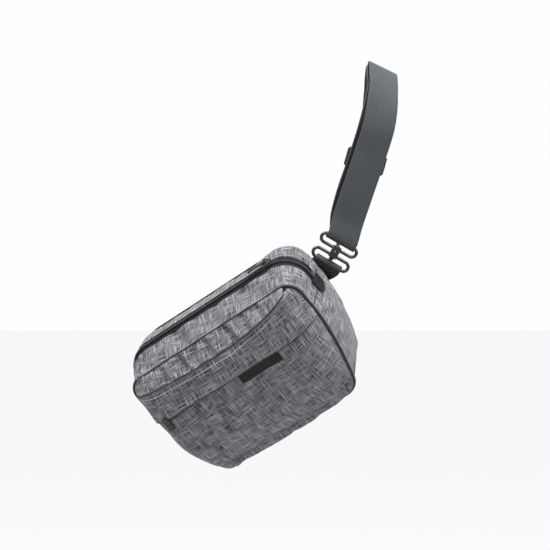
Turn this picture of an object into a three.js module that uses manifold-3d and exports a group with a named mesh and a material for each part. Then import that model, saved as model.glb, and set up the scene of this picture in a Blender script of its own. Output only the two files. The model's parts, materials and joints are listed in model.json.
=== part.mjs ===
// A small camera sling bag on its doubled webbing strap, hanging as it is worn across a shoulder.
// Millimetres, +Z up. The origin is the top of the strap, where it lies on the shoulder. The bag
// hangs tilted in its own group: there x runs to the bag's right, y to its back, z up its height,
// and the group's origin is the middle of the lower rear edge. The group is also skewed a little,
// as the pull of the strap skews the bag.
import * as THREE from "three";
import { mergeVertices } from "three/addons/utils/BufferGeometryUtils.js";
import Module from "manifold-3d";

// ---------------------------------------------------------------- driving dimensions
const BAG_TURN = THREE.MathUtils.degToRad(20); // about the bag's own height
const BAG_NOD = THREE.MathUtils.degToRad(20); // its top leans forward
const BAG_ROLL = THREE.MathUtils.degToRad(40); // its right end is the higher one
const BAG_PLACE = new THREE.Vector3(-100.3, 32, -391.5);
const SKEW = 0.12; // the strap pulls the back to the right: each mm forward lies this far to the left
const DEPTH = 74; // main compartment, from the rear seam to the front seam
const BASE_RISE = 8; // the base climbs this much from the front seam to the rear seam
const FABRIC = 2.4; // outer fabric with its lining
const GAP = 0.4; // between pieces that touch
const FOAM = 5;
const ZIP_LINE = 36; // the main zip's coil, this far in front of the rear seam
const ZIP_HALF = 6; // half of the band that the zip shows
const LID_END = 1.7; // where the zip and the lid stop on the two ends, along the outline
const POCKET_DEEP = 20; // the front pocket's depth at its upper seam
const POCKET_BULGE = 29; // and where it is fullest
const POCKET_FULL_Z = 90;
const FLAP_Z = 108; // the free edge that covers the front zip
const WEB_WIDE = 38;
const WEB_THICK = 2;
const TAB_WIDE = 34;
const TAB_LAYERS = 3.6; // between the middles of a tab's two layers, where they are sewn in
const WIRE = 4; // wire of the rings
const RING_LONG = 50;
const RING_TALL = 15;
const SADDLE = 55; // radius of the strap's turn over the shoulder

// ---------------------------------------------------------------- colours
const cloth = (color) => new THREE.MeshStandardMaterial({ color, roughness: 0.95, metalness: 0 });
const HEATHER = cloth(0x85868a);
const LINING = cloth(0x9a9b9e);
const WEBBING = cloth(0x3a3c3f);
const TAPE = cloth(0x141416);
const LABEL = cloth(0x17181a);
const METAL = new THREE.MeshStandardMaterial({ color: 0x1d1e20, roughness: 0.3, metalness: 0.9 });

const model = new THREE.Group();
const bag = new THREE.Group();
bag.position.copy(BAG_PLACE);
bag.rotation.set(BAG_NOD, -BAG_ROLL, -BAG_TURN, "YXZ");
bag.updateMatrix();
bag.matrix.multiply(new THREE.Matrix4().makeShear(0, 0, SKEW, 0, 0, 0));
bag.matrixAutoUpdate = false;
model.add(bag);

function add(parent, name, geometry, material) {
  const mesh = new THREE.Mesh(geometry, material);
  mesh.name = name;
  parent.add(mesh);
  return mesh;
}

// ---------------------------------------------------------------- closed solids from surfaces
const lerp = THREE.MathUtils.lerp;

// The closed solid between two sheets, each a function of (u, v) from 0 to 1.
function solidBetween(outer, inner, across, along) {
  const points = [];
  for (const sheet of [outer, inner])
    for (let j = 0; j <= along; j++)
      for (let i = 0; i <= across; i++) points.push(sheet(i / across, j / along));
  const row = across + 1;
  const sheetSize = row * (along + 1);
  const at = (layer, i, j) => layer * sheetSize + j * row + i;
  const faces = [];
  const quad = (a, b, c, d) => faces.push(a, b, c, a, c, d);
  for (let j = 0; j < along; j++)
    for (let i = 0; i < across; i++) {
      quad(at(0, i, j), at(0, i + 1, j), at(0, i + 1, j + 1), at(0, i, j + 1));
      quad(at(1, i, j), at(1, i, j + 1), at(1, i + 1, j + 1), at(1, i + 1, j));
    }
  for (let i = 0; i < across; i++) {
    quad(at(0, i, 0), at(1, i, 0), at(1, i + 1, 0), at(0, i + 1, 0));
    quad(at(0, i + 1, along), at(1, i + 1, along), at(1, i, along), at(0, i, along));
  }
  for (let j = 0; j < along; j++) {
    quad(at(0, 0, j + 1), at(1, 0, j + 1), at(1, 0, j), at(0, 0, j));
    quad(at(0, across, j), at(1, across, j), at(1, across, j + 1), at(0, across, j + 1));
  }
  let volume = 0;
  for (let k = 0; k < faces.length; k += 3) {
    const [a, b, c] = [points[faces[k]], points[faces[k + 1]], points[faces[k + 2]]];
    volume += a.dot(b.clone().cross(c));
  }
  if (volume < 0) faces.reverse();
  return new THREE.BufferGeometry().setFromPoints(points).setIndex(faces);
}

// ---------------------------------------------------------------- the bag's outline
// Half outlines at four depths: half-widths and corner radii of a rounded four-sided figure,
// and the share by which its sides swell at mid height.
const LEVELS = [
  { y: 0, topHalf: 115, baseHalf: 94, top: 170, topRadius: 28, baseRadius: 24, swell: 0.12 },
  { y: -14, topHalf: 125, baseHalf: 101, top: 174.5, topRadius: 30, baseRadius: 26, swell: 0.13 },
  { y: -ZIP_LINE, topHalf: 124, baseHalf: 102, top: 175, topRadius: 27, baseRadius: 24, swell: 0.1 },
  { y: -DEPTH, topHalf: 120, baseHalf: 99, top: 158.5, topRadius: 16, baseRadius: 17, swell: 0.07 },
];

function levelAt(y) {
  const clamped = THREE.MathUtils.clamp(y, -DEPTH, 0);
  const k = Math.max(1, LEVELS.findIndex((level) => level.y <= clamped));
  const [a, b] = [LEVELS[k - 1], LEVELS[k]];
  const share = (clamped - a.y) / (b.y - a.y);
  const level = { base: BASE_RISE * (1 + clamped / DEPTH) };
  for (const key of Object.keys(a)) level[key] = lerp(a[key], b[key], share);
  return level;
}

// A point of the outline. s is 0 at the top middle and 4 at the base middle, positive on the
// right: to 0.5 the top edge, to 1.5 the top corner, to 2.5 the side, to 3.5 the base corner.
function outline(level, s, inset = 0) {
  const wrapped = Math.abs(s) > 4 ? s - 8 * Math.sign(s) : s;
  const a = Math.abs(wrapped);
  const top = { x: level.topHalf - inset, z: level.top - inset };
  const low = { x: level.baseHalf - inset, z: level.base + inset };
  const topRadius = level.topRadius - inset;
  const baseRadius = level.baseRadius - inset;
  const lean = Math.atan2(top.x - low.x, top.z - low.z);
  const topTurn = Math.PI / 2 + lean;
  const baseTurn = Math.PI / 2 - lean;
  const topCut = topRadius * Math.tan(topTurn / 2);
  const baseCut = baseRadius * Math.tan(baseTurn / 2);
  let x, z;
  if (a <= 0.5) {
    x = (top.x - topCut) * 2 * a;
    z = top.z;
  } else if (a <= 1.5) {
    const turn = (a - 0.5) * topTurn;
    x = top.x - topCut + topRadius * Math.sin(turn);
    z = top.z - topRadius + topRadius * Math.cos(turn);
  } else if (a <= 2.5) {
    const start = { x: top.x - topCut * Math.sin(lean), z: top.z - topCut * Math.cos(lean) };
    const end = { x: low.x + baseCut * Math.sin(lean), z: low.z + baseCut * Math.cos(lean) };
    x = lerp(start.x, end.x, a - 1.5);
    z = lerp(start.z, end.z, a - 1.5);
  } else if (a <= 3.5) {
    const turn = topTurn + (a - 2.5) * baseTurn;
    x = low.x - baseCut + baseRadius * Math.sin(turn);
    z = low.z + baseRadius + baseRadius * Math.cos(turn);
  } else {
    x = (low.x - baseCut) * 2 * (4 - a);
    z = low.z;
  }
  x *= 1 + level.swell * Math.sin((Math.PI * (z - level.base)) / (level.top - level.base));
  return { x: wrapped < 0 ? -x : x, z };
}

// A piece of the bag's wall, in rows at the given depths from the rear seam. fromS may change
// with the depth, for a panel cut round its neighbour.
function wall({ fromS, toS, rows, inset = 0, thick = FABRIC, across = 6 }) {
  const along = rows.length - 1;
  const sheet = (sunk) => (u, v) => {
    const depth = rows[Math.round(v * along)];
    const start = typeof fromS === "function" ? fromS(depth) : fromS;
    const p = outline(levelAt(-depth), lerp(start, toS, u), sunk);
    return new THREE.Vector3(p.x, -depth, p.z);
  };
  return solidBetween(sheet(inset), sheet(inset + thick), across, along);
}

// A flat plate of the bag's outline, between two depths from the rear seam.
function plate(rear, front, inset) {
  const level = levelAt(-(rear + front) / 2);
  const points = [];
  for (let s = 0; s < 8; s += 0.25) {
    const p = outline(level, s, inset);
    points.push(new THREE.Vector2(p.x, p.z));
  }
  const shape = new THREE.Shape(points);
  return new THREE.ExtrudeGeometry(shape, { depth: front - rear, bevelEnabled: false, curveSegments: 1 })
    .rotateX(Math.PI / 2)
    .translate(0, -rear, 0);
}

// ---------------------------------------------------------------- main compartment
const WALL_REAR = 1;
const WALL_FRONT = DEPTH - GAP;
const ZIP_REAR = ZIP_LINE - ZIP_HALF;
const ZIP_FRONT = ZIP_LINE + ZIP_HALF;
const SIDE_START = 1.5; // the top panel stops here and the end panels start
const SIDE_STOP = 2.9; // the end panels stop in the base corners
const SEAM = 0.008; // half a seam's gap, along the outline
const LID_HALF = 0.49; // the lid's straight part stops short of the corners, to swing past them

function buildBody() {
  add(bag, "back_panel", plate(0.2, 4, FABRIC + 1), LINING);
  add(bag, "back_mesh_pad", plate(-5, -0.2, 15), TAPE);
  add(bag, "rear_top_panel", wall({
    fromS: -SIDE_START + SEAM, toS: SIDE_START - SEAM, across: 26,
    rows: [WALL_REAR, 7, 14, ZIP_REAR - GAP],
  }), HEATHER);
  const besideZip = (depth) => (depth < ZIP_REAR - GAP / 2 ? SIDE_START : LID_END) + SEAM;
  for (const [side, sign] of [["right", 1], ["left", -1]]) {
    add(bag, side + "_end_panel", wall({
      fromS: (depth) => sign * besideZip(depth), toS: sign * (SIDE_STOP - SEAM),
      rows: [WALL_REAR, 7, 14, ZIP_REAR - GAP, ZIP_REAR - GAP / 2, ZIP_LINE, 55, WALL_FRONT], across: 10,
    }), HEATHER);
    add(bag, side + "_lid_corner", wall({
      fromS: sign * (0.5 + SEAM), toS: sign * LID_END, rows: [ZIP_FRONT + GAP, 55, WALL_FRONT], across: 8,
    }), HEATHER);
  }
  add(bag, "base_panel", wall({
    fromS: SIDE_STOP + SEAM, toS: 8 - SIDE_STOP - SEAM, across: 16,
    rows: [WALL_REAR, 7, 14, ZIP_LINE, 55, WALL_FRONT],
  }), HEATHER);
  add(bag, "lid_panel", wall({
    fromS: -LID_HALF, toS: LID_HALF, rows: [ZIP_FRONT + GAP, 55, WALL_FRONT], across: 6,
  }), HEATHER);
  add(bag, "inner_front_wall", plate(DEPTH - 2.5, DEPTH - 0.8, FABRIC + 1), LINING);
}

// Foam pads behind the lining, and two padded dividers held by hook-and-loop.
const PAD_IN = FABRIC + 1.4; // clear of the facets of the wall outside it
const DIVIDER_THICK = 5;
const DIVIDER_X = 38;
const DIVIDER_LOW = 18;
const DIVIDER_HIGH = 140;

function buildInside() {
  add(bag, "rear_foam", plate(4 + GAP, 4 + GAP + FOAM, 14), LINING);
  add(bag, "front_foam", plate(DEPTH - 3 - FOAM, DEPTH - 3, 14), LINING);
  const padRear = 4 + FOAM + 3 * GAP;
  const padFront = DEPTH - 4 - FOAM;
  add(bag, "floor_foam", wall({
    fromS: 3.4, toS: 4.6, rows: [padRear, ZIP_LINE, padFront], inset: PAD_IN, thick: FOAM, across: 4,
  }), LINING);
  for (const [side, sign] of [["right", 1], ["left", -1]]) {
    add(bag, side + "_end_foam", wall({
      fromS: sign * 1.75, toS: sign * 2.6, rows: [padRear, 14, ZIP_LINE, 55, padFront], inset: PAD_IN,
      thick: FOAM,
    }), LINING);
    const size = [DIVIDER_THICK, padFront - padRear, DIVIDER_HIGH - DIVIDER_LOW];
    const divider = add(bag, side + "_divider", new THREE.BoxGeometry(...size), LINING);
    divider.position.set(sign * DIVIDER_X, -(padRear + padFront) / 2, (DIVIDER_LOW + DIVIDER_HIGH) / 2);
  }
}

// ---------------------------------------------------------------- main zip
const COIL_PROUD = 0.8;
const SLIDER_X = 92; // parked where the straight run meets the right corner
const SLIDER_LONG = 11;
const SLIDER_WIDE = 6.6;
const PULL_LONG = 26;
const PULL_WIDE = 6;

// The zip's top surface over its straight run.
const zipTop = levelAt(-ZIP_LINE).top;

function buildMainZip() {
  const run = { fromS: -0.5, toS: 0.5, across: 4 };
  const tape = { ...run, inset: 0.3, thick: 1 };
  const coil = { ...run, inset: -COIL_PROUD, thick: 2 };
  const mid = ZIP_LINE + 0.2;
  add(bag, "rear_zip_tape", wall({ ...tape, rows: [ZIP_REAR, mid - 1.4] }), TAPE);
  add(bag, "rear_zip_coil", wall({ ...coil, rows: [mid - 1.1, mid - 0.2] }), TAPE);
  add(bag, "front_zip_coil", wall({ ...coil, rows: [mid + 0.2, mid + 1.1] }), TAPE);
  add(bag, "front_zip_tape", wall({ ...tape, rows: [mid + 1.4, ZIP_FRONT] }), TAPE);
  for (const [side, sign] of [["right", 1], ["left", -1]])
    add(bag, side + "_zip_end", wall({
      fromS: sign * (0.5 + SEAM), toS: sign * LID_END, rows: [ZIP_REAR, ZIP_FRONT],
      inset: 0.2, thick: 1.4, across: 8,
    }), TAPE);

  // The slider stands on the rear coil only, so that the lid swings past it.
  const slider = new THREE.Group();
  slider.position.set(SLIDER_X, -mid + 0.1 + SLIDER_WIDE / 2, zipTop + COIL_PROUD + GAP);
  bag.add(slider);
  const plan = new THREE.Shape()
    .moveTo(-SLIDER_LONG / 2, -SLIDER_WIDE / 2)
    .lineTo(SLIDER_LONG / 2, -SLIDER_WIDE / 2)
    .lineTo(SLIDER_LONG / 2, SLIDER_WIDE / 2)
    .lineTo(0, SLIDER_WIDE / 2)
    .lineTo(-SLIDER_LONG / 2, SLIDER_WIDE / 3)
    .closePath();
  add(slider, "main_slider", new THREE.ExtrudeGeometry(plan, { depth: 2.6, bevelEnabled: false }), METAL);
  add(slider, "main_pull", pullTab(PULL_LONG, PULL_WIDE).rotateZ(Math.PI), TAPE).position.set(0, 0, 2.6 + GAP);
}

// A moulded pull lying along +x from its pivot, 2 thick.
function pullTab(long, wide) {
  const half = wide / 2;
  const shape = new THREE.Shape()
    .moveTo(0, -half + 1)
    .lineTo(3, -half)
    .lineTo(long - 1.5, -half)
    .lineTo(long, -half + 1.5)
    .lineTo(long, half - 1.5)
    .lineTo(long - 1.5, half)
    .lineTo(3, half)
    .lineTo(0, half - 1)
    .closePath();
  return new THREE.ExtrudeGeometry(shape, { depth: 2, bevelEnabled: false });
}

// ---------------------------------------------------------------- front pocket
const POCKET_FACE = DEPTH + GAP;
const FRONT = levelAt(-DEPTH);
const POCKET_HALF = outline(FRONT, 1.6).x - 0.3; // where the front seam is widest
const UPPER_SEAM = 138; // height of the pocket's upper seam at its middle
const SEAM_ROOM = 9; // over this height below the front seam the pocket gains its depth
const POCKET_RIGHT = 107.6; // here the pocket's upper seam runs into the front seam

// Height of the pocket's upper seam.
function upperSeam(x) {
  return UPPER_SEAM + (x < 0 ? 5 * (x / 100) ** 2 : 15 * (x / POCKET_RIGHT) ** 2.2);
}

// The last point of the front seam, going round from one s to another, for which test holds.
function alongFrontSeam(first, last, test) {
  let [low, high] = [first, last];
  for (let step = 0; step < 24; step++) {
    const middle = (low + high) / 2;
    if (test(outline(FRONT, middle))) low = middle;
    else high = middle;
  }
  return outline(FRONT, low);
}

// Height of the front seam over x, and half its width at a height.
const frontSeam = (x) => alongFrontSeam(0, 1.6, (p) => p.x < Math.abs(x)).z;
const halfAt = (z) => alongFrontSeam(0.5, 2.5, (p) => p.z > z).x;

// How far the pocket stands in front of the front seam. side runs from -1 to 1.
function pocketDepth(side, z) {
  const rise = Math.min(1, (z - POCKET_FULL_Z) / (UPPER_SEAM - POCKET_FULL_Z));
  const fall = (POCKET_FULL_Z - z) / POCKET_FULL_Z;
  const middle = z > POCKET_FULL_Z
    ? POCKET_BULGE - (POCKET_BULGE - POCKET_DEEP) * rise ** 2
    : POCKET_BULGE * (1 - fall ** 2.2) + 1;
  return middle * (1 - Math.min(1, Math.abs(side)) ** 6) ** 0.7;
}

// The same for a point of the front, with the pocket running out under the upper front seam.
function depthAt(x, z) {
  const room = THREE.MathUtils.clamp((frontSeam(x) - z) / SEAM_ROOM, 0, 1);
  return pocketDepth(x / halfAt(z), z) * Math.sqrt(room);
}

// A piece of the pocket, from a function that gives x, z and how far its face stands forward.
function pocketPiece(place, across, along, thick = FABRIC) {
  const sheet = (sunk) => (u, v) => {
    const { x, z, deep } = place(u, v);
    const y = -POCKET_FACE - deep + sunk;
    return new THREE.Vector3(x, sunk ? Math.min(y, -POCKET_FACE + 0.2) : y, z);
  };
  return solidBetween(sheet(0), sheet(thick), across, along);
}

const FRONT_COIL_HALF = 1.3;
const FRONT_PULL_X = -97;
const LABEL_LEFT = 8;
const LABEL_LONG = 58;
const LABEL_TALL = 12;
const LABEL_THICK = 0.8;

function buildFrontPocket() {
  // The sloping strip between the front seam and the pocket's upper seam.
  add(bag, "pocket_top_strip", pocketPiece((u, v) => {
    const x = lerp(-POCKET_HALF + 3, POCKET_RIGHT - 2, u);
    const high = frontSeam(x) - 0.3;
    const z = Math.min(high - 0.3, upperSeam(x) + 0.3);
    return { x, z: lerp(high, z, v), deep: v * depthAt(x, z) };
  }, 18, 3), HEATHER);
  add(bag, "pocket_upper_band", pocketPiece((u, v) => {
    const x = lerp(-POCKET_HALF, POCKET_HALF, u);
    const high = Math.min(upperSeam(x) - 0.3, frontSeam(x) - 1);
    const z = lerp(high, FLAP_Z + FRONT_COIL_HALF + GAP, v);
    return { x, z, deep: depthAt(x, z) };
  }, 22, 3), HEATHER);
  const flapS = 1.5 + (outline(FRONT, 1.5).z - FLAP_Z) / (outline(FRONT, 1.5).z - outline(FRONT, 2.5).z);
  add(bag, "pocket_lower_panel", pocketPiece((u, v) => {
    const edge = outline(FRONT, lerp(flapS, 3.5, v));
    const z = lerp(edge.z, edge.z - FRONT_COIL_HALF - GAP, 1 - v);
    const side = lerp(-1, 1, u);
    return { x: side * (edge.x - 0.3), z, deep: pocketDepth(side, z) };
  }, 20, 9), HEATHER);

  // The front zip's coil lies in the gap under the flap.
  add(bag, "front_pocket_coil", pocketPiece((u, v) => {
    const x = lerp(FRONT_PULL_X - 3, 78, u);
    const z = FLAP_Z + lerp(FRONT_COIL_HALF, -FRONT_COIL_HALF, v);
    return { x, z, deep: depthAt(x, z) - 0.6 };
  }, 14, 1), TAPE);

  // Its slider runs straight, just clear of the flap's fullest part; the pull hangs from it.
  const slider = new THREE.Group();
  slider.position.set(FRONT_PULL_X, -POCKET_FACE - pocketDepth(0, FLAP_Z) - 1.6, FLAP_Z);
  bag.add(slider);
  add(slider, "front_slider", new THREE.BoxGeometry(7, 2, 5), METAL);
  add(slider, "front_pull", pullTab(17, PULL_WIDE).rotateY(Math.PI / 2).rotateZ(-Math.PI / 2), TAPE)
    .position.set(0, -1 - GAP - 2, 1);
  add(bag, "label_patch", pocketPiece((u, v) => {
    const x = lerp(LABEL_LEFT, LABEL_LEFT + LABEL_LONG, u);
    const z = lerp(FLAP_Z - 3, FLAP_Z - 3 - LABEL_TALL, v);
    return { x, z, deep: depthAt(x, z) + GAP + LABEL_THICK };
  }, 6, 2, LABEL_THICK), LABEL);
}

const PIPING = 1.2; // radius of the cord

// Cord piping round the front seam, from the right top corner down, along the base and up again.
function buildPiping() {
  const route = [];
  for (let s = 0.75; s <= 7.26; s += 0.125) {
    const p = outline(FRONT, s, -PIPING - 1);
    route.push(new THREE.Vector3(p.x, -DEPTH, p.z));
  }
  const section = new THREE.Shape().absarc(0, 0, PIPING, 0, 2 * Math.PI);
  const path = new THREE.CatmullRomCurve3(route);
  add(bag, "front_piping", new THREE.ExtrudeGeometry(section, {
    steps: 44, curveSegments: 3, extrudePath: path,
  }), TAPE);
}

// ---------------------------------------------------------------- joining and cutting
const wasm = await Module();
wasm.setup();

function toSolid(geometry) {
  const bare = geometry.clone();
  bare.deleteAttribute("normal");
  bare.deleteAttribute("uv");
  const merged = mergeVertices(bare, 1e-4);
  return new wasm.Manifold(new wasm.Mesh({
    numProp: 3,
    vertProperties: merged.attributes.position.array,
    triVerts: new Uint32Array(merged.index.array),
  }));
}

function toGeometry(solid) {
  const mesh = solid.getMesh();
  const geometry = new THREE.BufferGeometry();
  geometry.setAttribute("position", new THREE.BufferAttribute(mesh.vertProperties, 3));
  return geometry.setIndex(new THREE.BufferAttribute(mesh.triVerts, 1));
}

// ---------------------------------------------------------------- rings and snap hooks
// Each set of hardware has a frame of its own: x along its rings, y from the bag towards the
// strap, z out of the rings' plane. Its origin is the middle of the tab's ring.
const RING_BAR = (RING_TALL - WIRE) / 2; // from a ring's middle to the middle of its long bars
const RING_STEP = 19.4; // from the tab's ring to the strap's ring
const STRAP_BAR = RING_STEP + RING_BAR;
const HOOK_THICK = 5.5;
const GATE_PIN = { z: -6.3, y: 11 };
const CHEEK = 1.4;

const direction = (x, y, z) => new THREE.Vector3(x, y, z).normalize();
const asWorn = (v) => v.clone().applyQuaternion(bag.quaternion);
const RIGHT_SET = {
  side: "right",
  middle: new THREE.Vector3(-64, -60.5, -229.8),
  along: direction(0.866, 0, -0.5),
  up: direction(0.5, 0, 0.866),
  root: new THREE.Vector3(121.5, 2.6, 120).applyEuler(bag.rotation).add(BAG_PLACE),
  rootWidth: asWorn(direction(0, 0, -1)),
  rootOut: asWorn(direction(1, 0, 0)),
};
const LEFT_SET = {
  side: "left",
  middle: new THREE.Vector3(-108, 13.5, 119).applyEuler(bag.rotation).add(BAG_PLACE),
  along: asWorn(direction(-0.0744, -0.0663, -0.995)),
  up: asWorn(direction(0.74, 0.66, -0.1)),
  root: new THREE.Vector3(-121.5, 2.6, 120).applyEuler(bag.rotation).add(BAG_PLACE),
  rootWidth: asWorn(direction(0, 0, -1)),
  rootOut: asWorn(direction(0.6, 1, 0)),
};

function oblongRing(spin) {
  const oblong = (long, tall) => {
    const shape = new THREE.Shape();
    const reach = (long - tall) / 2;
    shape.absarc(reach, 0, tall / 2, -Math.PI / 2, Math.PI / 2);
    shape.absarc(-reach, 0, tall / 2, Math.PI / 2, 1.5 * Math.PI);
    return shape;
  };
  const round = 0.29 * WIRE;
  const shape = oblong(RING_LONG, RING_TALL);
  shape.holes.push(oblong(RING_LONG - 2 * WIRE, RING_TALL - 2 * WIRE));
  return new THREE.ExtrudeGeometry(shape, {
    depth: WIRE - 2 * round, bevelThickness: round, bevelSize: round, bevelOffset: -round,
    bevelSegments: 1, curveSegments: 6,
  }).translate(0, 0, round - WIRE / 2).rotateZ(spin);
}

// A profile drawn in the set's z (across) and y (up), spread evenly along its x.
const spread = (shape, thick) =>
  new THREE.ExtrudeGeometry(shape, { depth: thick, bevelEnabled: false, curveSegments: 8 })
    .translate(0, 0, -thick / 2)
    .rotateY(-Math.PI / 2);

// The hook holds the tab's ring in its jaw and turns on the strap ring's lower bar.
function hookBody() {
  const eye = RING_STEP - RING_BAR;
  const shape = new THREE.Shape()
    .moveTo(-7.4, 3.2)
    .lineTo(-7.4, 0.8)
    .lineTo(-6, -0.1)
    .lineTo(5.5, -0.1)
    .lineTo(7.6, 2)
    .lineTo(7.6, 9.6)
    .lineTo(4.4, 12.6);
  shape.absarc(0, eye, 4.5, -0.2, Math.PI + 0.2);
  shape
    .lineTo(-4.6, 12.4)
    .lineTo(-4.6, 9.3)
    .lineTo(4.6, 9.3)
    .lineTo(4.6, 2.9)
    .lineTo(-5.4, 2.9)
    .closePath();
  shape.holes.push(new THREE.Path().absarc(0, eye, 2.8, 0, 2 * Math.PI));
  const cheek = new THREE.Shape()
    .moveTo(-8.2, 9.6)
    .lineTo(-2, 9.6)
    .lineTo(-2, 12.4)
    .lineTo(-8.2, 12.4)
    .closePath();
  cheek.holes.push(new THREE.Path().absarc(GATE_PIN.z, GATE_PIN.y, 1, 0, 2 * Math.PI));
  let solid = toSolid(spread(shape, HOOK_THICK));
  for (const sign of [1, -1]) {
    const plateGeometry = spread(cheek, CHEEK).translate((sign * (HOOK_THICK + CHEEK)) / 2 - sign * 0.05, 0, 0);
    solid = solid.add(toSolid(plateGeometry));
  }
  return toGeometry(solid);
}

function gate() {
  const shape = new THREE.Shape()
    .moveTo(-7.4, 3.7)
    .lineTo(-5.6, 3.7)
    .lineTo(-5.1, 9.5)
    .lineTo(-5.1, 12)
    .lineTo(-7.5, 12)
    .closePath();
  shape.holes.push(new THREE.Path().absarc(GATE_PIN.z, GATE_PIN.y, 0.95, 0, 2 * Math.PI));
  return spread(shape, HOOK_THICK - 2 * GAP);
}

// ---------------------------------------------------------------- webbing
// A ribbon along a smooth line through stations, each a point and the direction of its width.
function ribbon(stations, wide, thick, stepsEach) {
  const line = new THREE.CatmullRomCurve3(stations.map((s) => s.point));
  const widths = new THREE.CatmullRomCurve3(stations.map((s) => s.width));
  const sheet = (offset) => (u, v) => {
    const side = widths.getPoint(v).normalize();
    const normal = line.getTangent(v).cross(side).normalize();
    return line.getPoint(v).addScaledVector(side, wide * (u - 0.5)).addScaledVector(normal, offset);
  };
  return solidBetween(sheet(thick / 2), sheet(-thick / 2), 1, stepsEach * (stations.length - 1));
}

const station = (point, width) => ({ point, width });
const BAR_TURN = WIRE / 2 + 1.5 * GAP + WEB_THICK / 2; // radius of webbing's middle round a bar

// Stations round a bar: in on one side, past the end, out on the other side.
function roundBar(bar, width, away, out) {
  const places = [[1, 1.3], [1, 0.1], [0.72, -0.7], [0, -1], [-0.72, -0.7], [-1, 0.1], [-1, 1.3]];
  return places.map(([across, along]) => station(
    bar.clone().addScaledVector(out, across * BAR_TURN).addScaledVector(away, along * BAR_TURN),
    width,
  ));
}

function buildHardware(set) {
  const out = set.along.clone().cross(set.up).normalize();
  const frame = new THREE.Group();
  frame.position.copy(set.middle);
  frame.quaternion.setFromRotationMatrix(new THREE.Matrix4().makeBasis(set.along, set.up, out));
  model.add(frame);
  add(frame, set.side + "_tab_ring", oblongRing(0), METAL);
  add(frame, set.side + "_strap_ring", oblongRing(0), METAL).position.set(0, RING_STEP, 0);
  add(frame, set.side + "_hook", hookBody(), METAL);
  add(frame, set.side + "_gate", gate(), METAL);
  const pin = new THREE.CylinderGeometry(0.6, 0.6, HOOK_THICK + 2 * CHEEK, 8).rotateZ(Math.PI / 2);
  add(frame, set.side + "_gate_pin", pin, METAL).position.set(0, GATE_PIN.y, GATE_PIN.z);

  // The tab leaves the end panel's rear seam, turns round the ring's lower bar and comes back.
  const bar = set.middle.clone().addScaledVector(set.up, -RING_BAR);
  const toRoot = set.root.clone().sub(bar).projectOnPlane(set.along).normalize();
  const face = toRoot.clone().cross(set.along).normalize();
  const apart = set.rootOut.clone().cross(set.rootWidth).normalize().multiplyScalar(-TAB_LAYERS / 2);
  const front = set.root.clone().add(apart);
  const back = set.root.clone().sub(apart);
  add(model, set.side + "_tab", ribbon([
    station(front, set.rootWidth),
    ...roundBar(bar, set.along, toRoot, face),
    station(back, set.rootWidth),
  ], TAB_WIDE, WEB_THICK, 3), WEBBING);
}

// The strap is one length of webbing. It starts behind the adjuster, lies under itself over the
// shoulder, turns round the right ring, comes back on top, goes down the chest through the
// adjuster, and ends sewn round the left ring.
const SADDLE_WIDTH = new THREE.Vector3(0.9, 0, -0.44);
const LAYERS = 3.6; // between the middles of the two layers
const LAYER_SHIFT = -5; // the under layer shows this far to the left
const SHIFT_ROOM = 40; // and gets there over this height above the ring
const RISE = [
  [-44, -185, 0.9, -0.42],
  [-35, -158, 0.93, -0.37],
  [-18, -108, 0.95, -0.3],
  [-7, -72, 0.96, -0.28],
];
const FALL = [
  [-41, 68, -176, 0.6, 0.75, -0.3],
  [-47, 73, -198, 0.2, 0.97, -0.1],
  [-55, 78, -219, 0.05, 1, 0],
  [-68, 84, -238, 0.15, 0.97, -0.1],
  [-92, 88, -252, 0.5, 0.78, -0.37],
  [-130, 92, -280, 0.6, 0.65, -0.45],
  [-175, 80, -299, 0.6, 0.45, -0.66],
];
const CHEST_TOP = new THREE.Vector3(-5, 54.6, -64); // the straight run that the adjuster slides on
const CHEST_LOW = new THREE.Vector3(-26, 60, -136);
const ADJUST_AT = 46; // the adjuster's middle, from the top of that run
const RETURN_STOP = 8; // where the under layer's fixed stretch stops, on the same run

function saddle(lift, shift) {
  const stations = [];
  const radius = SADDLE + lift;
  for (let step = 1; step < 8; step++) {
    const turn = (Math.PI * step) / 8;
    const x = shift + 2 * Math.sin(turn) - 2;
    const point = new THREE.Vector3(x, -radius * Math.cos(turn), -SADDLE - 1 + radius * Math.sin(turn));
    stations.push(station(point, SADDLE_WIDTH));
  }
  return stations;
}

// The run's own axes: down the run, across the webbing, and out from the chest.
function chestAxes() {
  const down = CHEST_LOW.clone().sub(CHEST_TOP).normalize();
  const out = SADDLE_WIDTH.clone().cross(down).normalize();
  if (out.y < 0) out.negate();
  const width = SADDLE_WIDTH.clone().projectOnPlane(down).normalize();
  return { down, out, width };
}

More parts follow.
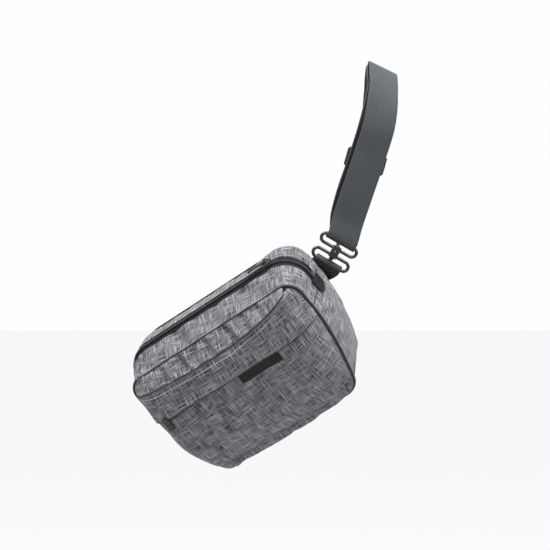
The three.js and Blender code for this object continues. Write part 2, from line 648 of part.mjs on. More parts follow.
function buildStrap() {
  const { down, out, width } = chestAxes();
  const onChest = (far, sunk) => station(
    CHEST_TOP.clone().addScaledVector(down, far).addScaledVector(out, -sunk), width);
  const rightBar = RIGHT_SET.middle.clone().addScaledVector(RIGHT_SET.up, STRAP_BAR);
  const rise = (shift, y) => RISE.map(([x, z, wx, wz]) => {
    const share = Math.min(1, (z - rightBar.z) / SHIFT_ROOM);
    return station(new THREE.Vector3(x + shift * share, y, z), new THREE.Vector3(wx, 0, wz));
  });
  const flat = new THREE.Vector3(0, -1, 0);
  const leftBar = LEFT_SET.middle.clone().addScaledVector(LEFT_SET.up, STRAP_BAR);
  const leftOut = LEFT_SET.along.clone().cross(LEFT_SET.up).normalize();
  const leftEnd = (across, far) => station(
    leftBar.clone().addScaledVector(leftOut, across * BAR_TURN).addScaledVector(LEFT_SET.up, far),
    LEFT_SET.along,
  );
  add(model, "strap_webbing", ribbon([
    onChest(RETURN_STOP, LAYERS),
    onChest(0, LAYERS),
    ...saddle(-LAYERS, LAYER_SHIFT / 2).reverse(),
    ...rise(LAYER_SHIFT, -60 + LAYERS / 2).reverse(),
    ...roundBar(rightBar, RIGHT_SET.along, RIGHT_SET.up, flat).reverse(),
    ...rise(0, -60 - LAYERS / 2),
    ...saddle(LAYERS / 2, 0),
    ...[0, 20, 40, 60, 75].map((far) => onChest(far, 0)),
    ...FALL.map(([x, y, z, ...width]) =>
      station(new THREE.Vector3(x, y, z), new THREE.Vector3(...width))),
    leftEnd(1, 30),
    ...roundBar(leftBar, LEFT_SET.along, LEFT_SET.up, leftOut),
    leftEnd(-1, 24),
  ], WEB_WIDE, WEB_THICK, 4), WEBBING);
}

// ---------------------------------------------------------------- adjuster
// A slide in two levels: the strap runs straight between the outer frame and the inner bar.
const FRAME_LONG = 26;
const FRAME_WIDE = 50;
const FRAME_THICK = 2.4;
const RAIL = 4.4;

function buildAdjuster() {
  const { down, out, width } = chestAxes();
  const frame = new THREE.Group();
  frame.position.copy(CHEST_TOP).addScaledVector(down, ADJUST_AT);
  frame.quaternion.setFromRotationMatrix(new THREE.Matrix4().makeBasis(down.clone().cross(out), down, out));
  model.add(frame);
  const rim = new THREE.Shape();
  const [w, h] = [FRAME_WIDE / 2, FRAME_LONG / 2];
  rim.moveTo(-w + 3, -h).lineTo(w - 3, -h).lineTo(w, -h + 3).lineTo(w, h - 3);
  rim.lineTo(w - 3, h).lineTo(-w + 3, h).lineTo(-w, h - 3).lineTo(-w, -h + 3).closePath();
  rim.holes.push(new THREE.Path([
    new THREE.Vector2(-w + RAIL, -h + RAIL),
    new THREE.Vector2(w - RAIL, -h + RAIL),
    new THREE.Vector2(w - RAIL, h - RAIL),
    new THREE.Vector2(-w + RAIL, h - RAIL),
  ]));
  const clear = WEB_THICK / 2 + 2 * GAP;
  const rimGeometry = new THREE.ExtrudeGeometry(rim, { depth: FRAME_THICK, bevelEnabled: false });
  add(frame, "adjuster_frame", rimGeometry.translate(0, 0, clear), METAL);

  // The inner bar is a staple whose legs reach the frame's rails.
  const inner = w - RAIL + 0.4;
  const near = 1.5 * WEB_THICK + 4 * GAP; // room for the strap and one leg of the sewn loop
  const staple = new THREE.Shape()
    .moveTo(-w, clear - GAP)
    .lineTo(-w, -near - FRAME_THICK)
    .lineTo(w, -near - FRAME_THICK)
    .lineTo(w, clear - GAP)
    .lineTo(inner, clear - GAP)
    .lineTo(inner, -near)
    .lineTo(-inner, -near)
    .lineTo(-inner, clear - GAP)
    .closePath();
  const stapleGeometry = new THREE.ExtrudeGeometry(staple, { depth: 4, bevelEnabled: false })
    .translate(0, 0, -2)
    .rotateX(Math.PI / 2);
  add(frame, "adjuster_bar", stapleGeometry, METAL);

  // The under layer's last stretch is sewn round the bar and slides with it.
  const middle = CHEST_TOP.clone().addScaledVector(down, ADJUST_AT);
  const at = (far, sunk) => station(
    middle.clone().addScaledVector(down, far).addScaledVector(out, -sunk), width);
  const nearLeg = WEB_THICK + 2 * GAP;
  const farLeg = near + FRAME_THICK + 1.5 * GAP + WEB_THICK / 2;
  add(model, "strap_end_loop", ribbon([
    at(-20, LAYERS), at(-12, LAYERS), at(-5, nearLeg), at(2.2, nearLeg), at(5.2, nearLeg + 1.6),
    at(5.2, farLeg - 1.6), at(2.2, farLeg), at(-6, farLeg), at(-14, farLeg),
  ], WEB_WIDE, WEB_THICK, 2), WEBBING);
}

buildBody();
buildInside();
buildMainZip();
buildFrontPocket();
buildPiping();
buildHardware(RIGHT_SET);
buildHardware(LEFT_SET);
buildStrap();
buildAdjuster();

export default model;
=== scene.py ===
"""The camera sling bag's visual model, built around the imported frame. Metres, +Z up."""
import json
import math

import bmesh
import bpy
import numpy as np
from mathutils import Matrix, Vector, noise
from mathutils.bvhtree import BVHTree


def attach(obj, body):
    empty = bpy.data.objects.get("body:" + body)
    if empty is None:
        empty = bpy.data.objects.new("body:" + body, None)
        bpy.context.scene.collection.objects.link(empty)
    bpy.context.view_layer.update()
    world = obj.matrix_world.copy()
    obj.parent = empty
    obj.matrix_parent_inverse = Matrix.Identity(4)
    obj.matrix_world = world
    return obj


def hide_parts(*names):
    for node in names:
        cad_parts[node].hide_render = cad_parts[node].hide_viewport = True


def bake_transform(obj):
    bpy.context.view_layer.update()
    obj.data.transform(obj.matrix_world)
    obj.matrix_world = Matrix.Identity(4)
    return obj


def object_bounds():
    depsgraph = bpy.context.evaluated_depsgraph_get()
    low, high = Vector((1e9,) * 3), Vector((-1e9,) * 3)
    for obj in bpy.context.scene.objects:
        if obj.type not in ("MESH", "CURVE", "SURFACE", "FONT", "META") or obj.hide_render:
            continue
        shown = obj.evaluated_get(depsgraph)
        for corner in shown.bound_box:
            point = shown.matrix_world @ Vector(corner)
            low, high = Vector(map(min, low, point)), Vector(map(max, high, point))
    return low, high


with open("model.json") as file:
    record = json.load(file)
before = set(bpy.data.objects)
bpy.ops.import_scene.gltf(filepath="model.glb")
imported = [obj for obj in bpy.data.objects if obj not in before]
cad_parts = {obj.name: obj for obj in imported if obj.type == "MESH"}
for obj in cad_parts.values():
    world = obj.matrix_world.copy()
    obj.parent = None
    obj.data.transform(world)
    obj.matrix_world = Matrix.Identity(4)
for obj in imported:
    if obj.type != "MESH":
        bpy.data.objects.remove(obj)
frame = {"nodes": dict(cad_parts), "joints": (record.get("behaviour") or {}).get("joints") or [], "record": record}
CAD_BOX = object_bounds()
MM = 0.001

# ---------------------------------------------------------------- the bag's own axes
JOINTS = {joint["name"]: joint for joint in frame["joints"]}
MOUNTS = {mount["name"]: mount for mount in frame["record"]["mounts"]}
BAG_X = Vector(JOINTS["lid_hinge"]["axis"]).normalized()
BAG_Y = Vector(JOINTS["main_pull_flip"]["axis"]).normalized()
BAG_Z = BAG_X.cross(BAG_Y)
DEPTH = 74.0
BASE_RISE = 8.0
SKEW = 0.12  # each millimetre forward lies this much to the left


def worn(x, y, z):
    """An offset in the bag's axes, in millimetres, turned as it hangs."""
    return (x * BAG_X + y * BAG_Y + z * BAG_Z) * MM


BAG_ORIGIN = Vector(MOUNTS["base"]["pos_m"]) - worn(-SKEW * DEPTH / 2, -DEPTH / 2, BASE_RISE / 2)


def place(x, y, z):
    """A point of the skewed bag, given in millimetres in its own axes."""
    return BAG_ORIGIN + worn(x + SKEW * y, y, z)


def turned(x, y, z):
    """A direction given in the bag's axes."""
    return (x * BAG_X + y * BAG_Y + z * BAG_Z).normalized()


FORWARD = turned(0, -1, 0)
UPWARD = turned(0, 0, 1)


# ---------------------------------------------------------------- camera, light and floor
CAMERA_SPOT = (-0.1294, -2.5, -0.2482)
LENS = 135.8
SENSOR = 36
LAMPS = [  # name, place, power, size
    ("overhead", (-0.55, -0.45, 1.15), 74, 0.9),
    ("front_right", (0.5, -0.64, 0.95), 30, 0.6),
    ("right", (1.1, 0.1, 0.4), 20, 0.6),
]
FLOOR_HALF = 40
FLOOR_DROP = 0.9


def look():
    """A long level lens facing the bag's front, in a bright plain studio."""
    scene = bpy.context.scene
    scene.view_settings.view_transform = "Standard"
    camera = bpy.data.objects.new("camera", bpy.data.cameras.new("camera"))
    camera.location = CAMERA_SPOT
    camera.rotation_euler = (math.pi / 2, 0, 0)
    camera.data.lens = LENS
    camera.data.sensor_width = SENSOR
    camera.data.clip_end = 100
    scene.collection.objects.link(camera)
    scene.camera = camera

    world = bpy.data.worlds.new("studio")
    world.use_nodes = True
    backdrop = world.node_tree.nodes["Background"]
    backdrop.inputs["Color"].default_value = (0.985, 0.99, 1, 1)
    backdrop.inputs["Strength"].default_value = 1.0
    scene.world = world

    target = place(0, -40, 110)
    for name, spot, power, size in LAMPS:
        data = bpy.data.lights.new(name, "AREA")
        data.energy = power
        data.color = (0.98, 0.985, 1)
        data.size = size
        lamp = bpy.data.objects.new(name, data)
        lamp.location = spot
        lamp.rotation_euler = (target - Vector(spot)).to_track_quat("-Z", "Y").to_euler()
        scene.collection.objects.link(lamp)


def floor():
    mesh = bpy.data.meshes.new("floor")
    low = CAD_BOX[0][2] - FLOOR_DROP
    corners = [(x * FLOOR_HALF, y * FLOOR_HALF, low) for x, y in ((-1, -1), (1, -1), (1, 1), (-1, 1))]
    mesh.from_pydata(corners, [], [(0, 1, 2, 3)])
    plane = bpy.data.objects.new("floor", mesh)
    bpy.context.scene.collection.objects.link(plane)
    material = Material("studio_floor", (0.93, 0.93, 0.94), 0.95)
    fleck = material.noise(0.02, 2)
    material.colour(material.mix(fleck, (0.92, 0.92, 0.93), (0.95, 0.95, 0.96)))
    mesh.materials.append(material.data)


# ---------------------------------------------------------------- materials
class Material:
    """A Principled material and short calls for the nodes that feed it."""

    def __init__(self, name, colour, roughness, metallic=0.0, **inputs):
        self.data = bpy.data.materials.new(name)
        self.data.use_nodes = True
        self.tree = self.data.node_tree
        self.shader = self.tree.nodes["Principled BSDF"]
        self.set("Base Color", (*colour, 1))
        self.set("Roughness", roughness)
        self.set("Metallic", metallic)
        for key, value in inputs.items():
            self.set(key.replace("_", " "), value)
        self.heights = []

    def set(self, name, value):
        self.shader.inputs[name].default_value = value

    def node(self, kind, **values):
        made = self.tree.nodes.new(kind)
        for key, value in values.items():
            setattr(made, key, value)
        return made

    def link(self, source, target):
        self.tree.links.new(source, target)

    def coords(self, scale=(1, 1, 1), woven=False):
        """Object coordinates, or the sheet's own, in metres, stretched by scale."""
        if woven:
            source = self.node("ShaderNodeAttribute", attribute_name="weave").outputs["Vector"]
        else:
            source = self.node("ShaderNodeTexCoord").outputs["Object"]
        mapping = self.node("ShaderNodeMapping")
        mapping.inputs["Scale"].default_value = scale
        self.link(source, mapping.inputs["Vector"])
        return mapping.outputs["Vector"]

    def noise(self, size, detail=2.0, stretch=(1, 1, 1), woven=False):
        texture = self.node("ShaderNodeTexNoise")
        texture.inputs["Scale"].default_value = 1
        texture.inputs["Detail"].default_value = detail
        scale = tuple(part / size for part in stretch)
        self.link(self.coords(scale, woven), texture.inputs["Vector"])
        return texture.outputs["Fac"]

    def wave(self, pitch, direction="X", woven=True, distort=0.0):
        """Bands pitch metres apart."""
        texture = self.node("ShaderNodeTexWave", bands_direction=direction)
        texture.inputs["Scale"].default_value = math.pi / 10
        texture.inputs["Distortion"].default_value = distort
        self.link(self.coords((1 / pitch,) * 3, woven), texture.inputs["Vector"])
        return texture.outputs["Fac"]

    def ramp(self, source, low, high, start=(0, 0, 0), end=(1, 1, 1)):
        node = self.node("ShaderNodeValToRGB")
        node.color_ramp.elements[0].position = low
        node.color_ramp.elements[0].color = (*start, 1)
        node.color_ramp.elements[1].position = high
        node.color_ramp.elements[1].color = (*end, 1)
        self.link(source, node.inputs["Fac"])
        return node.outputs["Color"]

    def math(self, operation, a, b):
        node = self.node("ShaderNodeMath", operation=operation)
        for socket, value in zip(node.inputs, (a, b)):
            if isinstance(value, (int, float)):
                socket.default_value = value
            else:
                self.link(value, socket)
        return node.outputs[0]

    def mix(self, factor, a, b, blend="MIX"):
        node = self.node("ShaderNodeMix", data_type="RGBA", blend_type=blend)
        for socket, value in zip((node.inputs[0], node.inputs[6], node.inputs[7]), (factor, a, b)):
            if isinstance(value, tuple):
                socket.default_value = (*value, 1)
            elif isinstance(value, (int, float)):
                socket.default_value = value
            else:
                self.link(value, socket)
        return node.outputs[2]

    def colour(self, source):
        self.link(source, self.shader.inputs["Base Color"])

    def roughness(self, source, low, high):
        node = self.node("ShaderNodeMapRange")
        node.inputs["To Min"].default_value = low
        node.inputs["To Max"].default_value = high
        self.link(source, node.inputs["Value"])
        self.link(node.outputs["Result"], self.shader.inputs["Roughness"])

    def bump(self, source, height, strength=1.0):
        """Adds a bump of this height in metres; later ones build on earlier ones."""
        node = self.node("ShaderNodeBump")
        node.inputs["Strength"].default_value = strength
        node.inputs["Distance"].default_value = height
        self.link(source, node.inputs["Height"])
        if self.heights:
            self.link(self.heights[-1], node.inputs["Normal"])
        self.heights.append(node.outputs["Normal"])
        self.link(node.outputs["Normal"], self.shader.inputs["Normal"])


def heather(name, dark, light):
    """Two-tone fabric: warp and weft threads of uneven shade, crossing at a fine pitch."""
    material = Material(name, light, 0.93, Sheen_Weight=0.12, Sheen_Roughness=0.4)
    material.set("Specular IOR Level", 0.15)
    weft = material.noise(0.0007, 2, (0.035, 1, 1), True)
    warp = material.noise(0.0007, 2, (1, 0.035, 1), True)
    threads = material.math("MAXIMUM", weft, warp)
    slub = material.mix(0.5, material.noise(0.0013, 3, (0.1, 1.2, 1), True),
                        material.noise(0.0013, 3, (1.2, 0.1, 1), True))
    tone = material.mix(0.2, threads, slub)
    shade = material.ramp(tone, 0.47, 0.66, dark, light)
    cloud = material.ramp(material.noise(0.02, 4, (1, 1, 1), True), 0.3, 0.7, (0.88, 0.88, 0.88))
    material.colour(material.mix(1.0, shade, cloud, "MULTIPLY"))
    weave = material.math("ADD", material.wave(0.0009, "X"), material.wave(0.0009, "Y"))
    material.bump(weave, 0.00012, 0.6)
    material.bump(threads, 0.00025, 0.7)
    material.roughness(threads, 0.85, 0.98)
    return material.data


def twill(name, dark, light, pitch, gloss):
    """Narrow webbing: a zigzag rib with a thread-fine grain."""
    material = Material(name, light, 0.6, Sheen_Weight=0.3 * gloss, Sheen_Roughness=0.35)
    material.set("Specular IOR Level", gloss)
    diagonal = material.wave(pitch, "DIAGONAL", distort=0.6)
    thread = material.wave(pitch * 0.55, "Y")
    across = material.wave(pitch * 0.8, "X")
    weave = material.mix(0.5, diagonal, material.mix(0.5, thread, across))
    worn = material.noise(0.02, 3, (1, 0.3, 1), True)
    shade = material.ramp(weave, 0.25, 0.8, dark, light)
    material.colour(material.mix(1.0, shade, material.ramp(worn, 0.3, 0.7, (0.86, 0.86, 0.86)), "MULTIPLY"))
    material.bump(weave, 0.00035, 0.8)
    material.roughness(weave, 0.72, 0.5)
    return material.data


def metal(name, colour, rough, metallic=0.0, specular=0.35):
    """Black gloss finish on metal, with slightly worn edges and faint handling marks."""
    material = Material(name, colour, rough, metallic)
    material.set("Specular IOR Level", specular)
    geometry = material.node("ShaderNodeNewGeometry").outputs["Pointiness"]
    edge = material.ramp(geometry, 0.52, 0.6)
    grime = material.noise(0.006, 4)
    wear = material.math("MULTIPLY", edge, material.ramp(grime, 0.35, 0.75))
    material.colour(material.mix(wear, colour, tuple(0.03 + 1.5 * part for part in colour)))
    material.roughness(grime, rough * 0.8, rough * 1.3)
    material.bump(material.noise(0.0012, 3), 0.00002, 0.4)
    return material.data


def moulded(name, colour, rough, pitch=None):
    """Moulded or extruded plastic, with ribs where pitch is given."""
    material = Material(name, colour, rough)
    material.set("Specular IOR Level", 0.3)
    grain = material.noise(0.0008, 3)
    material.colour(material.mix(grain, colour, tuple(1.7 * part for part in colour)))
    material.roughness(grain, rough * 0.8, rough * 1.2)
    material.bump(grain, 0.00004, 0.5)
    if pitch:
        material.bump(material.wave(pitch, "X", woven=True), 0.0003, 0.8)
    return material.data


def spacer_mesh(name):
    """Open black air mesh over foam; the cells' middles are painted darker as shade in its holes."""
    material = Material(name, (0.02, 0.02, 0.022), 0.9, Sheen_Weight=0.2)
    cells = material.node("ShaderNodeTexVoronoi", feature="DISTANCE_TO_EDGE")
    cells.inputs["Scale"].default_value = 1
    material.link(material.coords((420, 420, 420)), cells.inputs["Vector"])
    # Lighter strands, darker cell middles: painted shade in the mesh's holes.
    strands_and_hole_shade = material.ramp(cells.outputs["Distance"], 0.05, 0.25, (0.05, 0.05, 0.053), (0.006, 0.006, 0.007))
    material.colour(strands_and_hole_shade)
    material.bump(cells.outputs["Distance"], -0.0006, 0.8)
    return material.data


def make_materials():
    return {
        "outer": heather("heather_fabric", (0.006, 0.006, 0.007), (0.205, 0.205, 0.215)),
        "lining": heather("lining_fabric", (0.12, 0.12, 0.125), (0.22, 0.22, 0.225)),
        "webbing": twill("strap_webbing_weave", (0.007, 0.008, 0.009), (0.030, 0.033, 0.037), 0.0016, 0.2),
        "tape": twill("zip_tape_weave", (0.002, 0.002, 0.0025), (0.008, 0.008, 0.009), 0.0009, 0.1),
        "coil": moulded("zip_coil_nylon", (0.005, 0.005, 0.006), 0.4),
        "label": twill("label_weave", (0.003, 0.003, 0.004), (0.010, 0.010, 0.011), 0.0007, 0.12),
        "metal": metal("black_metal", (0.006, 0.006, 0.007), 0.16),
        "pull": moulded("pull_plastic", (0.005, 0.005, 0.006), 0.55, 0.003),
        # Near-black webbing is painted shade: it covers the strap's shaded inner face and the zip ends' covers.
        "shade_black_webbing": twill("shade_black_webbing_weave", (0.001, 0.001, 0.0015), (0.005, 0.005, 0.006),
                               0.0012, 0.08),
        "bright_metal": metal("bright_metal", (0.5, 0.5, 0.5), 0.22, 1.0, 0.5),
        "thread": moulded("light_thread", (0.26, 0.26, 0.27), 0.8),
        "grey_thread": moulded("grey_thread", (0.12, 0.12, 0.13), 0.8),
        "black_thread": moulded("black_thread", (0.008, 0.008, 0.009), 0.8),
        "cord": moulded("piping_cord", (0.008, 0.008, 0.009), 0.75),
        "mesh": spacer_mesh("spacer_mesh"),
    }


look()
floor()
MATERIALS = make_materials()

# ---------------------------------------------------------------- the bag's outline, as in the CAD
ZIP_LINE = 36.0
ZIP_HALF = 6.0
POCKET_FACE = DEPTH + 0.4
POCKET_DEEP = 20.0
POCKET_BULGE = 29.0
POCKET_FULL_Z = 90.0
POCKET_RIGHT = 107.6
UPPER_SEAM = 138.0
SEAM_ROOM = 9.0
FLAP_Z = 108.0
LEFT_SQUARE = 12  # the higher, the squarer the pocket's end; the left one comes out to its slider
RIGHT_SQUARE = 6
LEVELS = [  # y, top half, base half, top, top radius, base radius, swell
    (0, 115, 94, 170, 28, 24, 0.12),
    (-14, 125, 101, 174.5, 30, 26, 0.13),
    (-ZIP_LINE, 124, 102, 175, 27, 24, 0.1),
    (-DEPTH, 120, 99, 158.5, 16, 17, 0.07),
]


def lerp(a, b, share):
    return a + (b - a) * share


def clamp(value, low=0.0, high=1.0):
    return max(low, min(high, value))


def smooth(value):
    value = clamp(value)
    return value * value * (3 - 2 * value)


def level_at(y):
    """The outline's sizes at a depth: top half, base half, top, two radii, swell and base."""
    y = clamp(y, -DEPTH, 0)
    k = 1
    while LEVELS[k][0] > y:
        k += 1
    share = (y - LEVELS[k - 1][0]) / (LEVELS[k][0] - LEVELS[k - 1][0])
    sizes = [lerp(a, b, share) for a, b in zip(LEVELS[k - 1][1:], LEVELS[k][1:])]
    return (*sizes, BASE_RISE * (1 + y / DEPTH))


def outline(level, s, inset=0.0):
    """(x, z) of the outline. s is 0 at the top middle and 4 at the base middle, positive on the right."""
    top_half, base_half, top, top_radius, base_radius, swell, base = level
    wrapped = s - 8 * math.copysign(1, s) if abs(s) > 4 else s
    a = abs(wrapped)
    top_x, top_z = top_half - inset, top - inset
    low_x, low_z = base_half - inset, base + inset
    top_radius -= inset
    base_radius -= inset
    lean = math.atan2(top_x - low_x, top_z - low_z)
    top_turn = math.pi / 2 + lean
    base_turn = math.pi / 2 - lean
    top_cut = top_radius * math.tan(top_turn / 2)
    base_cut = base_radius * math.tan(base_turn / 2)
    if a <= 0.5:
        x, z = (top_x - top_cut) * 2 * a, top_z
    elif a <= 1.5:
        turn = (a - 0.5) * top_turn
        x = top_x - top_cut + top_radius * math.sin(turn)
        z = top_z - top_radius + top_radius * math.cos(turn)
    elif a <= 2.5:
        x = lerp(top_x - top_cut * math.sin(lean), low_x + base_cut * math.sin(lean), a - 1.5)
        z = lerp(top_z - top_cut * math.cos(lean), low_z + base_cut * math.cos(lean), a - 1.5)
    elif a <= 3.5:
        turn = top_turn + (a - 2.5) * base_turn
        x = low_x - base_cut + base_radius * math.sin(turn)
        z = low_z + base_radius + base_radius * math.cos(turn)
    else:
        x, z = (low_x - base_cut) * 2 * (4 - a), low_z
    x *= 1 + swell * math.sin(math.pi * (z - base) / (top - base))
    return (-x if wrapped < 0 else x), z


FRONT = level_at(-DEPTH)
POCKET_HALF = outline(FRONT, 1.6)[0] - 0.3


def upper_seam(x):
    """Height of the pocket's upper seam."""
    return UPPER_SEAM + (5 * (x / 100) ** 2 if x < 0 else 15 * (x / POCKET_RIGHT) ** 2.2)


def along_front_seam(first, last, test):
    """The last point of the front seam, going round from one s to another, for which test holds."""
    low, high = first, last
    for _ in range(24):
        middle = (low + high) / 2
        if test(*outline(FRONT, middle)):
            low = middle
        else:
            high = middle
    return outline(FRONT, low)


def front_seam(x):
    """Height of the front seam over x."""
    return along_front_seam(0.0, 1.6, lambda far, _: far < abs(x))[1]


def pocket_depth(side, z):
    """How far the pocket stands in front of the front seam. side runs from -1 to 1."""
    if z > POCKET_FULL_Z:
        rise = min(1, (z - POCKET_FULL_Z) / (UPPER_SEAM - POCKET_FULL_Z))
        middle = POCKET_BULGE - (POCKET_BULGE - POCKET_DEEP) * rise ** 2
    else:
        fall = clamp((POCKET_FULL_Z - z) / POCKET_FULL_Z)
        middle = POCKET_BULGE * (1 - fall ** 2.2) + 1
    square = LEFT_SQUARE if side < 0 else RIGHT_SQUARE
    return middle * (1 - min(1, abs(side)) ** square) ** 0.7


def depth_at(x, z):
    """How far the pocket stands forward over a point of the front."""
    half = along_front_seam(0.5, 2.5, lambda _, height: height > z)[0]
    room = clamp((front_seam(x) - z) / SEAM_ROOM)
    return pocket_depth(x / half, z) * math.sqrt(room)


# ---------------------------------------------------------------- mesh making
def add_mesh(name, points, faces, weave, *materials):
    """A smooth piece; weave holds each point's place along its threads, in metres."""
    mesh = bpy.data.meshes.new(name)
    mesh.from_pydata([tuple(point) for point in points], [], faces)
    mesh.polygons.foreach_set("use_smooth", [True] * len(mesh.polygons))
    layer = mesh.attributes.new("weave", "FLOAT_VECTOR", "POINT")
    layer.data.foreach_set("vector", np.asarray(weave, dtype=np.float32).ravel())
    mesh.update()
    obj = bpy.data.objects.new(name, mesh)
    bpy.context.scene.collection.objects.link(obj)
    for material in materials:
        mesh.materials.append(material)
    return obj


def grid_faces(across, along, closed=False, flip=False, base=0):
    """Quads over rows of across points, along rows of them; closed joins each row's ends."""
    faces = []
    cells = across if closed else across - 1
    for j in range(along - 1):
        row, next_row = base + j * across, base + (j + 1) * across
        for i in range(cells):
            k = (i + 1) % across
            face = (row + i, row + k, next_row + k, next_row + i)
            faces.append(face[::-1] if flip else face)
    return faces


def measured(points, across, along):
    """Distances in metres along the rows and the columns of a grid, from its middle."""
    grid = np.array([tuple(point) for point in points]).reshape(along, across, 3)
    rows = np.zeros((along, across))
    rows[:, 1:] = np.cumsum(np.linalg.norm(np.diff(grid, axis=1), axis=2), axis=1)
    rows -= rows[:, across // 2][:, None]
    columns = np.zeros((along, across))
    columns[1:] = np.cumsum(np.linalg.norm(np.diff(grid, axis=0), axis=2), axis=0)
    columns -= columns[along // 2][None, :]
    return np.stack([rows, columns, np.zeros_like(rows)], axis=2).reshape(-1, 3)


def end_caps(ring, rows, base=0):
    """The two end faces of a run of closed rings."""
    last = base + (rows - 1) * ring
    return [tuple(base + m for m in range(ring))[::-1], tuple(last + m for m in range(ring))]


def bag_grid(name, point, across, along, *materials):
    """A sheet over point(u, v), in the bag's millimetres, with its threads along its sides."""
    spots = [place(*point(i / (across - 1), j / (along - 1))) for j in range(along) for i in range(across)]
    return add_mesh(name, spots, grid_faces(across, along), measured(spots, across, along), *materials)


def border(across, along):
    """The numbers of a grid's border points."""
    return [j * across + i for j in range(along) for i in range(across)
            if i in (0, across - 1) or j in (0, along - 1)]


def face_out(obj, centre):
    """Turns a sheet's faces away from a point, all together."""
    mesh = obj.data
    total = 0.0
    for polygon in mesh.polygons:
        total += polygon.area * polygon.normal.dot(polygon.center - centre)
    if total < 0:
        mesh.flip_normals()


FOLD_DEPTH = 2.2
EDGE_FADE = 0.12  # share of a sheet's width over which its creases die away


def wrinkle(obj, across, along, amount, size, stretch, seed, folds=()):
    """Moves a sheet's inner points along their normals by soft noise, least near the border.

    Each fold is (place across, width, depth, lean), in shares of the sheet's width and in mm deep:
    a furrow beside a ridge, running from edge to edge."""
    mesh = obj.data
    layer = mesh.attributes["weave"].data
    normals = [vertex.normal.copy() for vertex in mesh.vertices]
    for number, vertex in enumerate(mesh.vertices):
        i, j = number % across, number // across
        u, v = i / (across - 1), j / (along - 1)
        edge = smooth(min(u, 1 - u) / EDGE_FADE) * smooth(min(v, 1 - v) / (2 * EDGE_FADE))
        w = layer[number].vector
        spot = Vector((w[0] * stretch[0] / size + seed, w[1] * stretch[1] / size, seed))
        wave = noise.noise(spot) + 0.45 * noise.noise(spot * 2.3 + Vector((seed, 7, 3)))
        height = wave * amount
        for middle, width, depth, lean in folds:
            t = (u - middle - lean * (v - 0.5)) / width
            height += FOLD_DEPTH * depth * (0.7 * math.exp(-(t - 1.5) ** 2) - math.exp(-t * t))
        vertex.co += normals[number] * (height * MM * edge)
    mesh.update()


CLOTHS = []
CLOTH_FRAMES = 16
STIFFNESS = 12


def cloth(obj, pins, pressure, slack, cap):
    """Asks for a cloth simulation: the pinned points stay, the rest swells and creases."""
    CLOTHS.append((obj, pins, pressure, slack, cap * MM))


def run_cloth():
    """Simulates every asked-for sheet at once and keeps the result in its mesh."""
    for obj, pins, pressure, slack, _ in CLOTHS:
        obj.vertex_groups.new(name="pin").add(pins, 1.0, "REPLACE")
        modifier = obj.modifiers.new("cloth", "CLOTH")
        settings = modifier.settings
        settings.quality = 6
        settings.mass = 0.2
        settings.tension_stiffness = STIFFNESS
        settings.compression_stiffness = STIFFNESS
        settings.shear_stiffness = STIFFNESS / 2
        settings.bending_stiffness = 1.2
        settings.vertex_group_mass = "pin"
        settings.use_pressure = True
        settings.uniform_pressure_force = pressure
        settings.shrink_min = -slack
        settings.effector_weights.gravity = 0
        modifier.collision_settings.use_collision = False
        modifier.point_cache.frame_end = CLOTH_FRAMES
    scene = bpy.context.scene
    for frame_number in range(1, CLOTH_FRAMES + 1):
        scene.frame_set(frame_number)
    graph = bpy.context.evaluated_depsgraph_get()
    for obj, _, _, _, cap in CLOTHS:
        shape = obj.evaluated_get(graph).to_mesh()
        for vertex, moved in zip(obj.data.vertices, [v.co.copy() for v in shape.vertices]):
            step = moved - vertex.co
            if step.length > cap:
                step *= cap / step.length
            vertex.co += step
        obj.evaluated_get(graph).to_mesh_clear()
        obj.modifiers.clear()
        obj.vertex_groups.clear()
        obj.data.update()
    scene.frame_set(1)


def thicken(obj, thick, levels=1, lined=False):
    """Rounds a sheet and thickens it inwards by millimetres; lined puts the second material inside."""
    if levels:
        modifier = obj.modifiers.new("rounding", "SUBSURF")
        modifier.levels = levels
        modifier.render_levels = levels
        modifier.boundary_smooth = "PRESERVE_CORNERS"
    modifier = obj.modifiers.new("thickness", "SOLIDIFY")
    modifier.thickness = thick * MM
    modifier.offset = -1
    if lined:
        modifier.material_offset = 1
    bake(obj)


def round_edges(obj, width, segments, turn):
    """Rounds the edges that turn more than so many degrees, by a width in millimetres."""
    modifier = obj.modifiers.new("edges", "BEVEL")
    modifier.width = width * MM
    modifier.segments = segments
    modifier.limit_method = "ANGLE"
    modifier.angle_limit = math.radians(turn)


def bake(obj):
    """Puts the result of the modifiers in the mesh."""
    graph = bpy.context.evaluated_depsgraph_get()
    shape = bpy.data.meshes.new_from_object(obj.evaluated_get(graph), preserve_all_data_layers=True,
                                            depsgraph=graph)
    old = obj.data
    obj.modifiers.clear()
    obj.data = shape
    shape.name = obj.name
    bpy.data.meshes.remove(old)


def frames_along(points, closed):
    """A tangent, normal and side at each point of a line, turning as little as they can."""
    count = len(points)
    tangents = []
    for k in range(count):
        before = points[(k - 1) % count] if closed or k else points[0]
        after = points[(k + 1) % count] if closed or k < count - 1 else points[-1]
        tangents.append((after - before).normalized())
    first = Vector((0, 0, 1)) if abs(tangents[0].z) < 0.9 else Vector((0, 1, 0))
    normal = (first - tangents[0] * first.dot(tangents[0])).normalized()
    result = []
    for tangent in tangents:
        normal = (normal - tangent * normal.dot(tangent)).normalized()
        result.append((tangent, normal, tangent.cross(normal)))
    return result


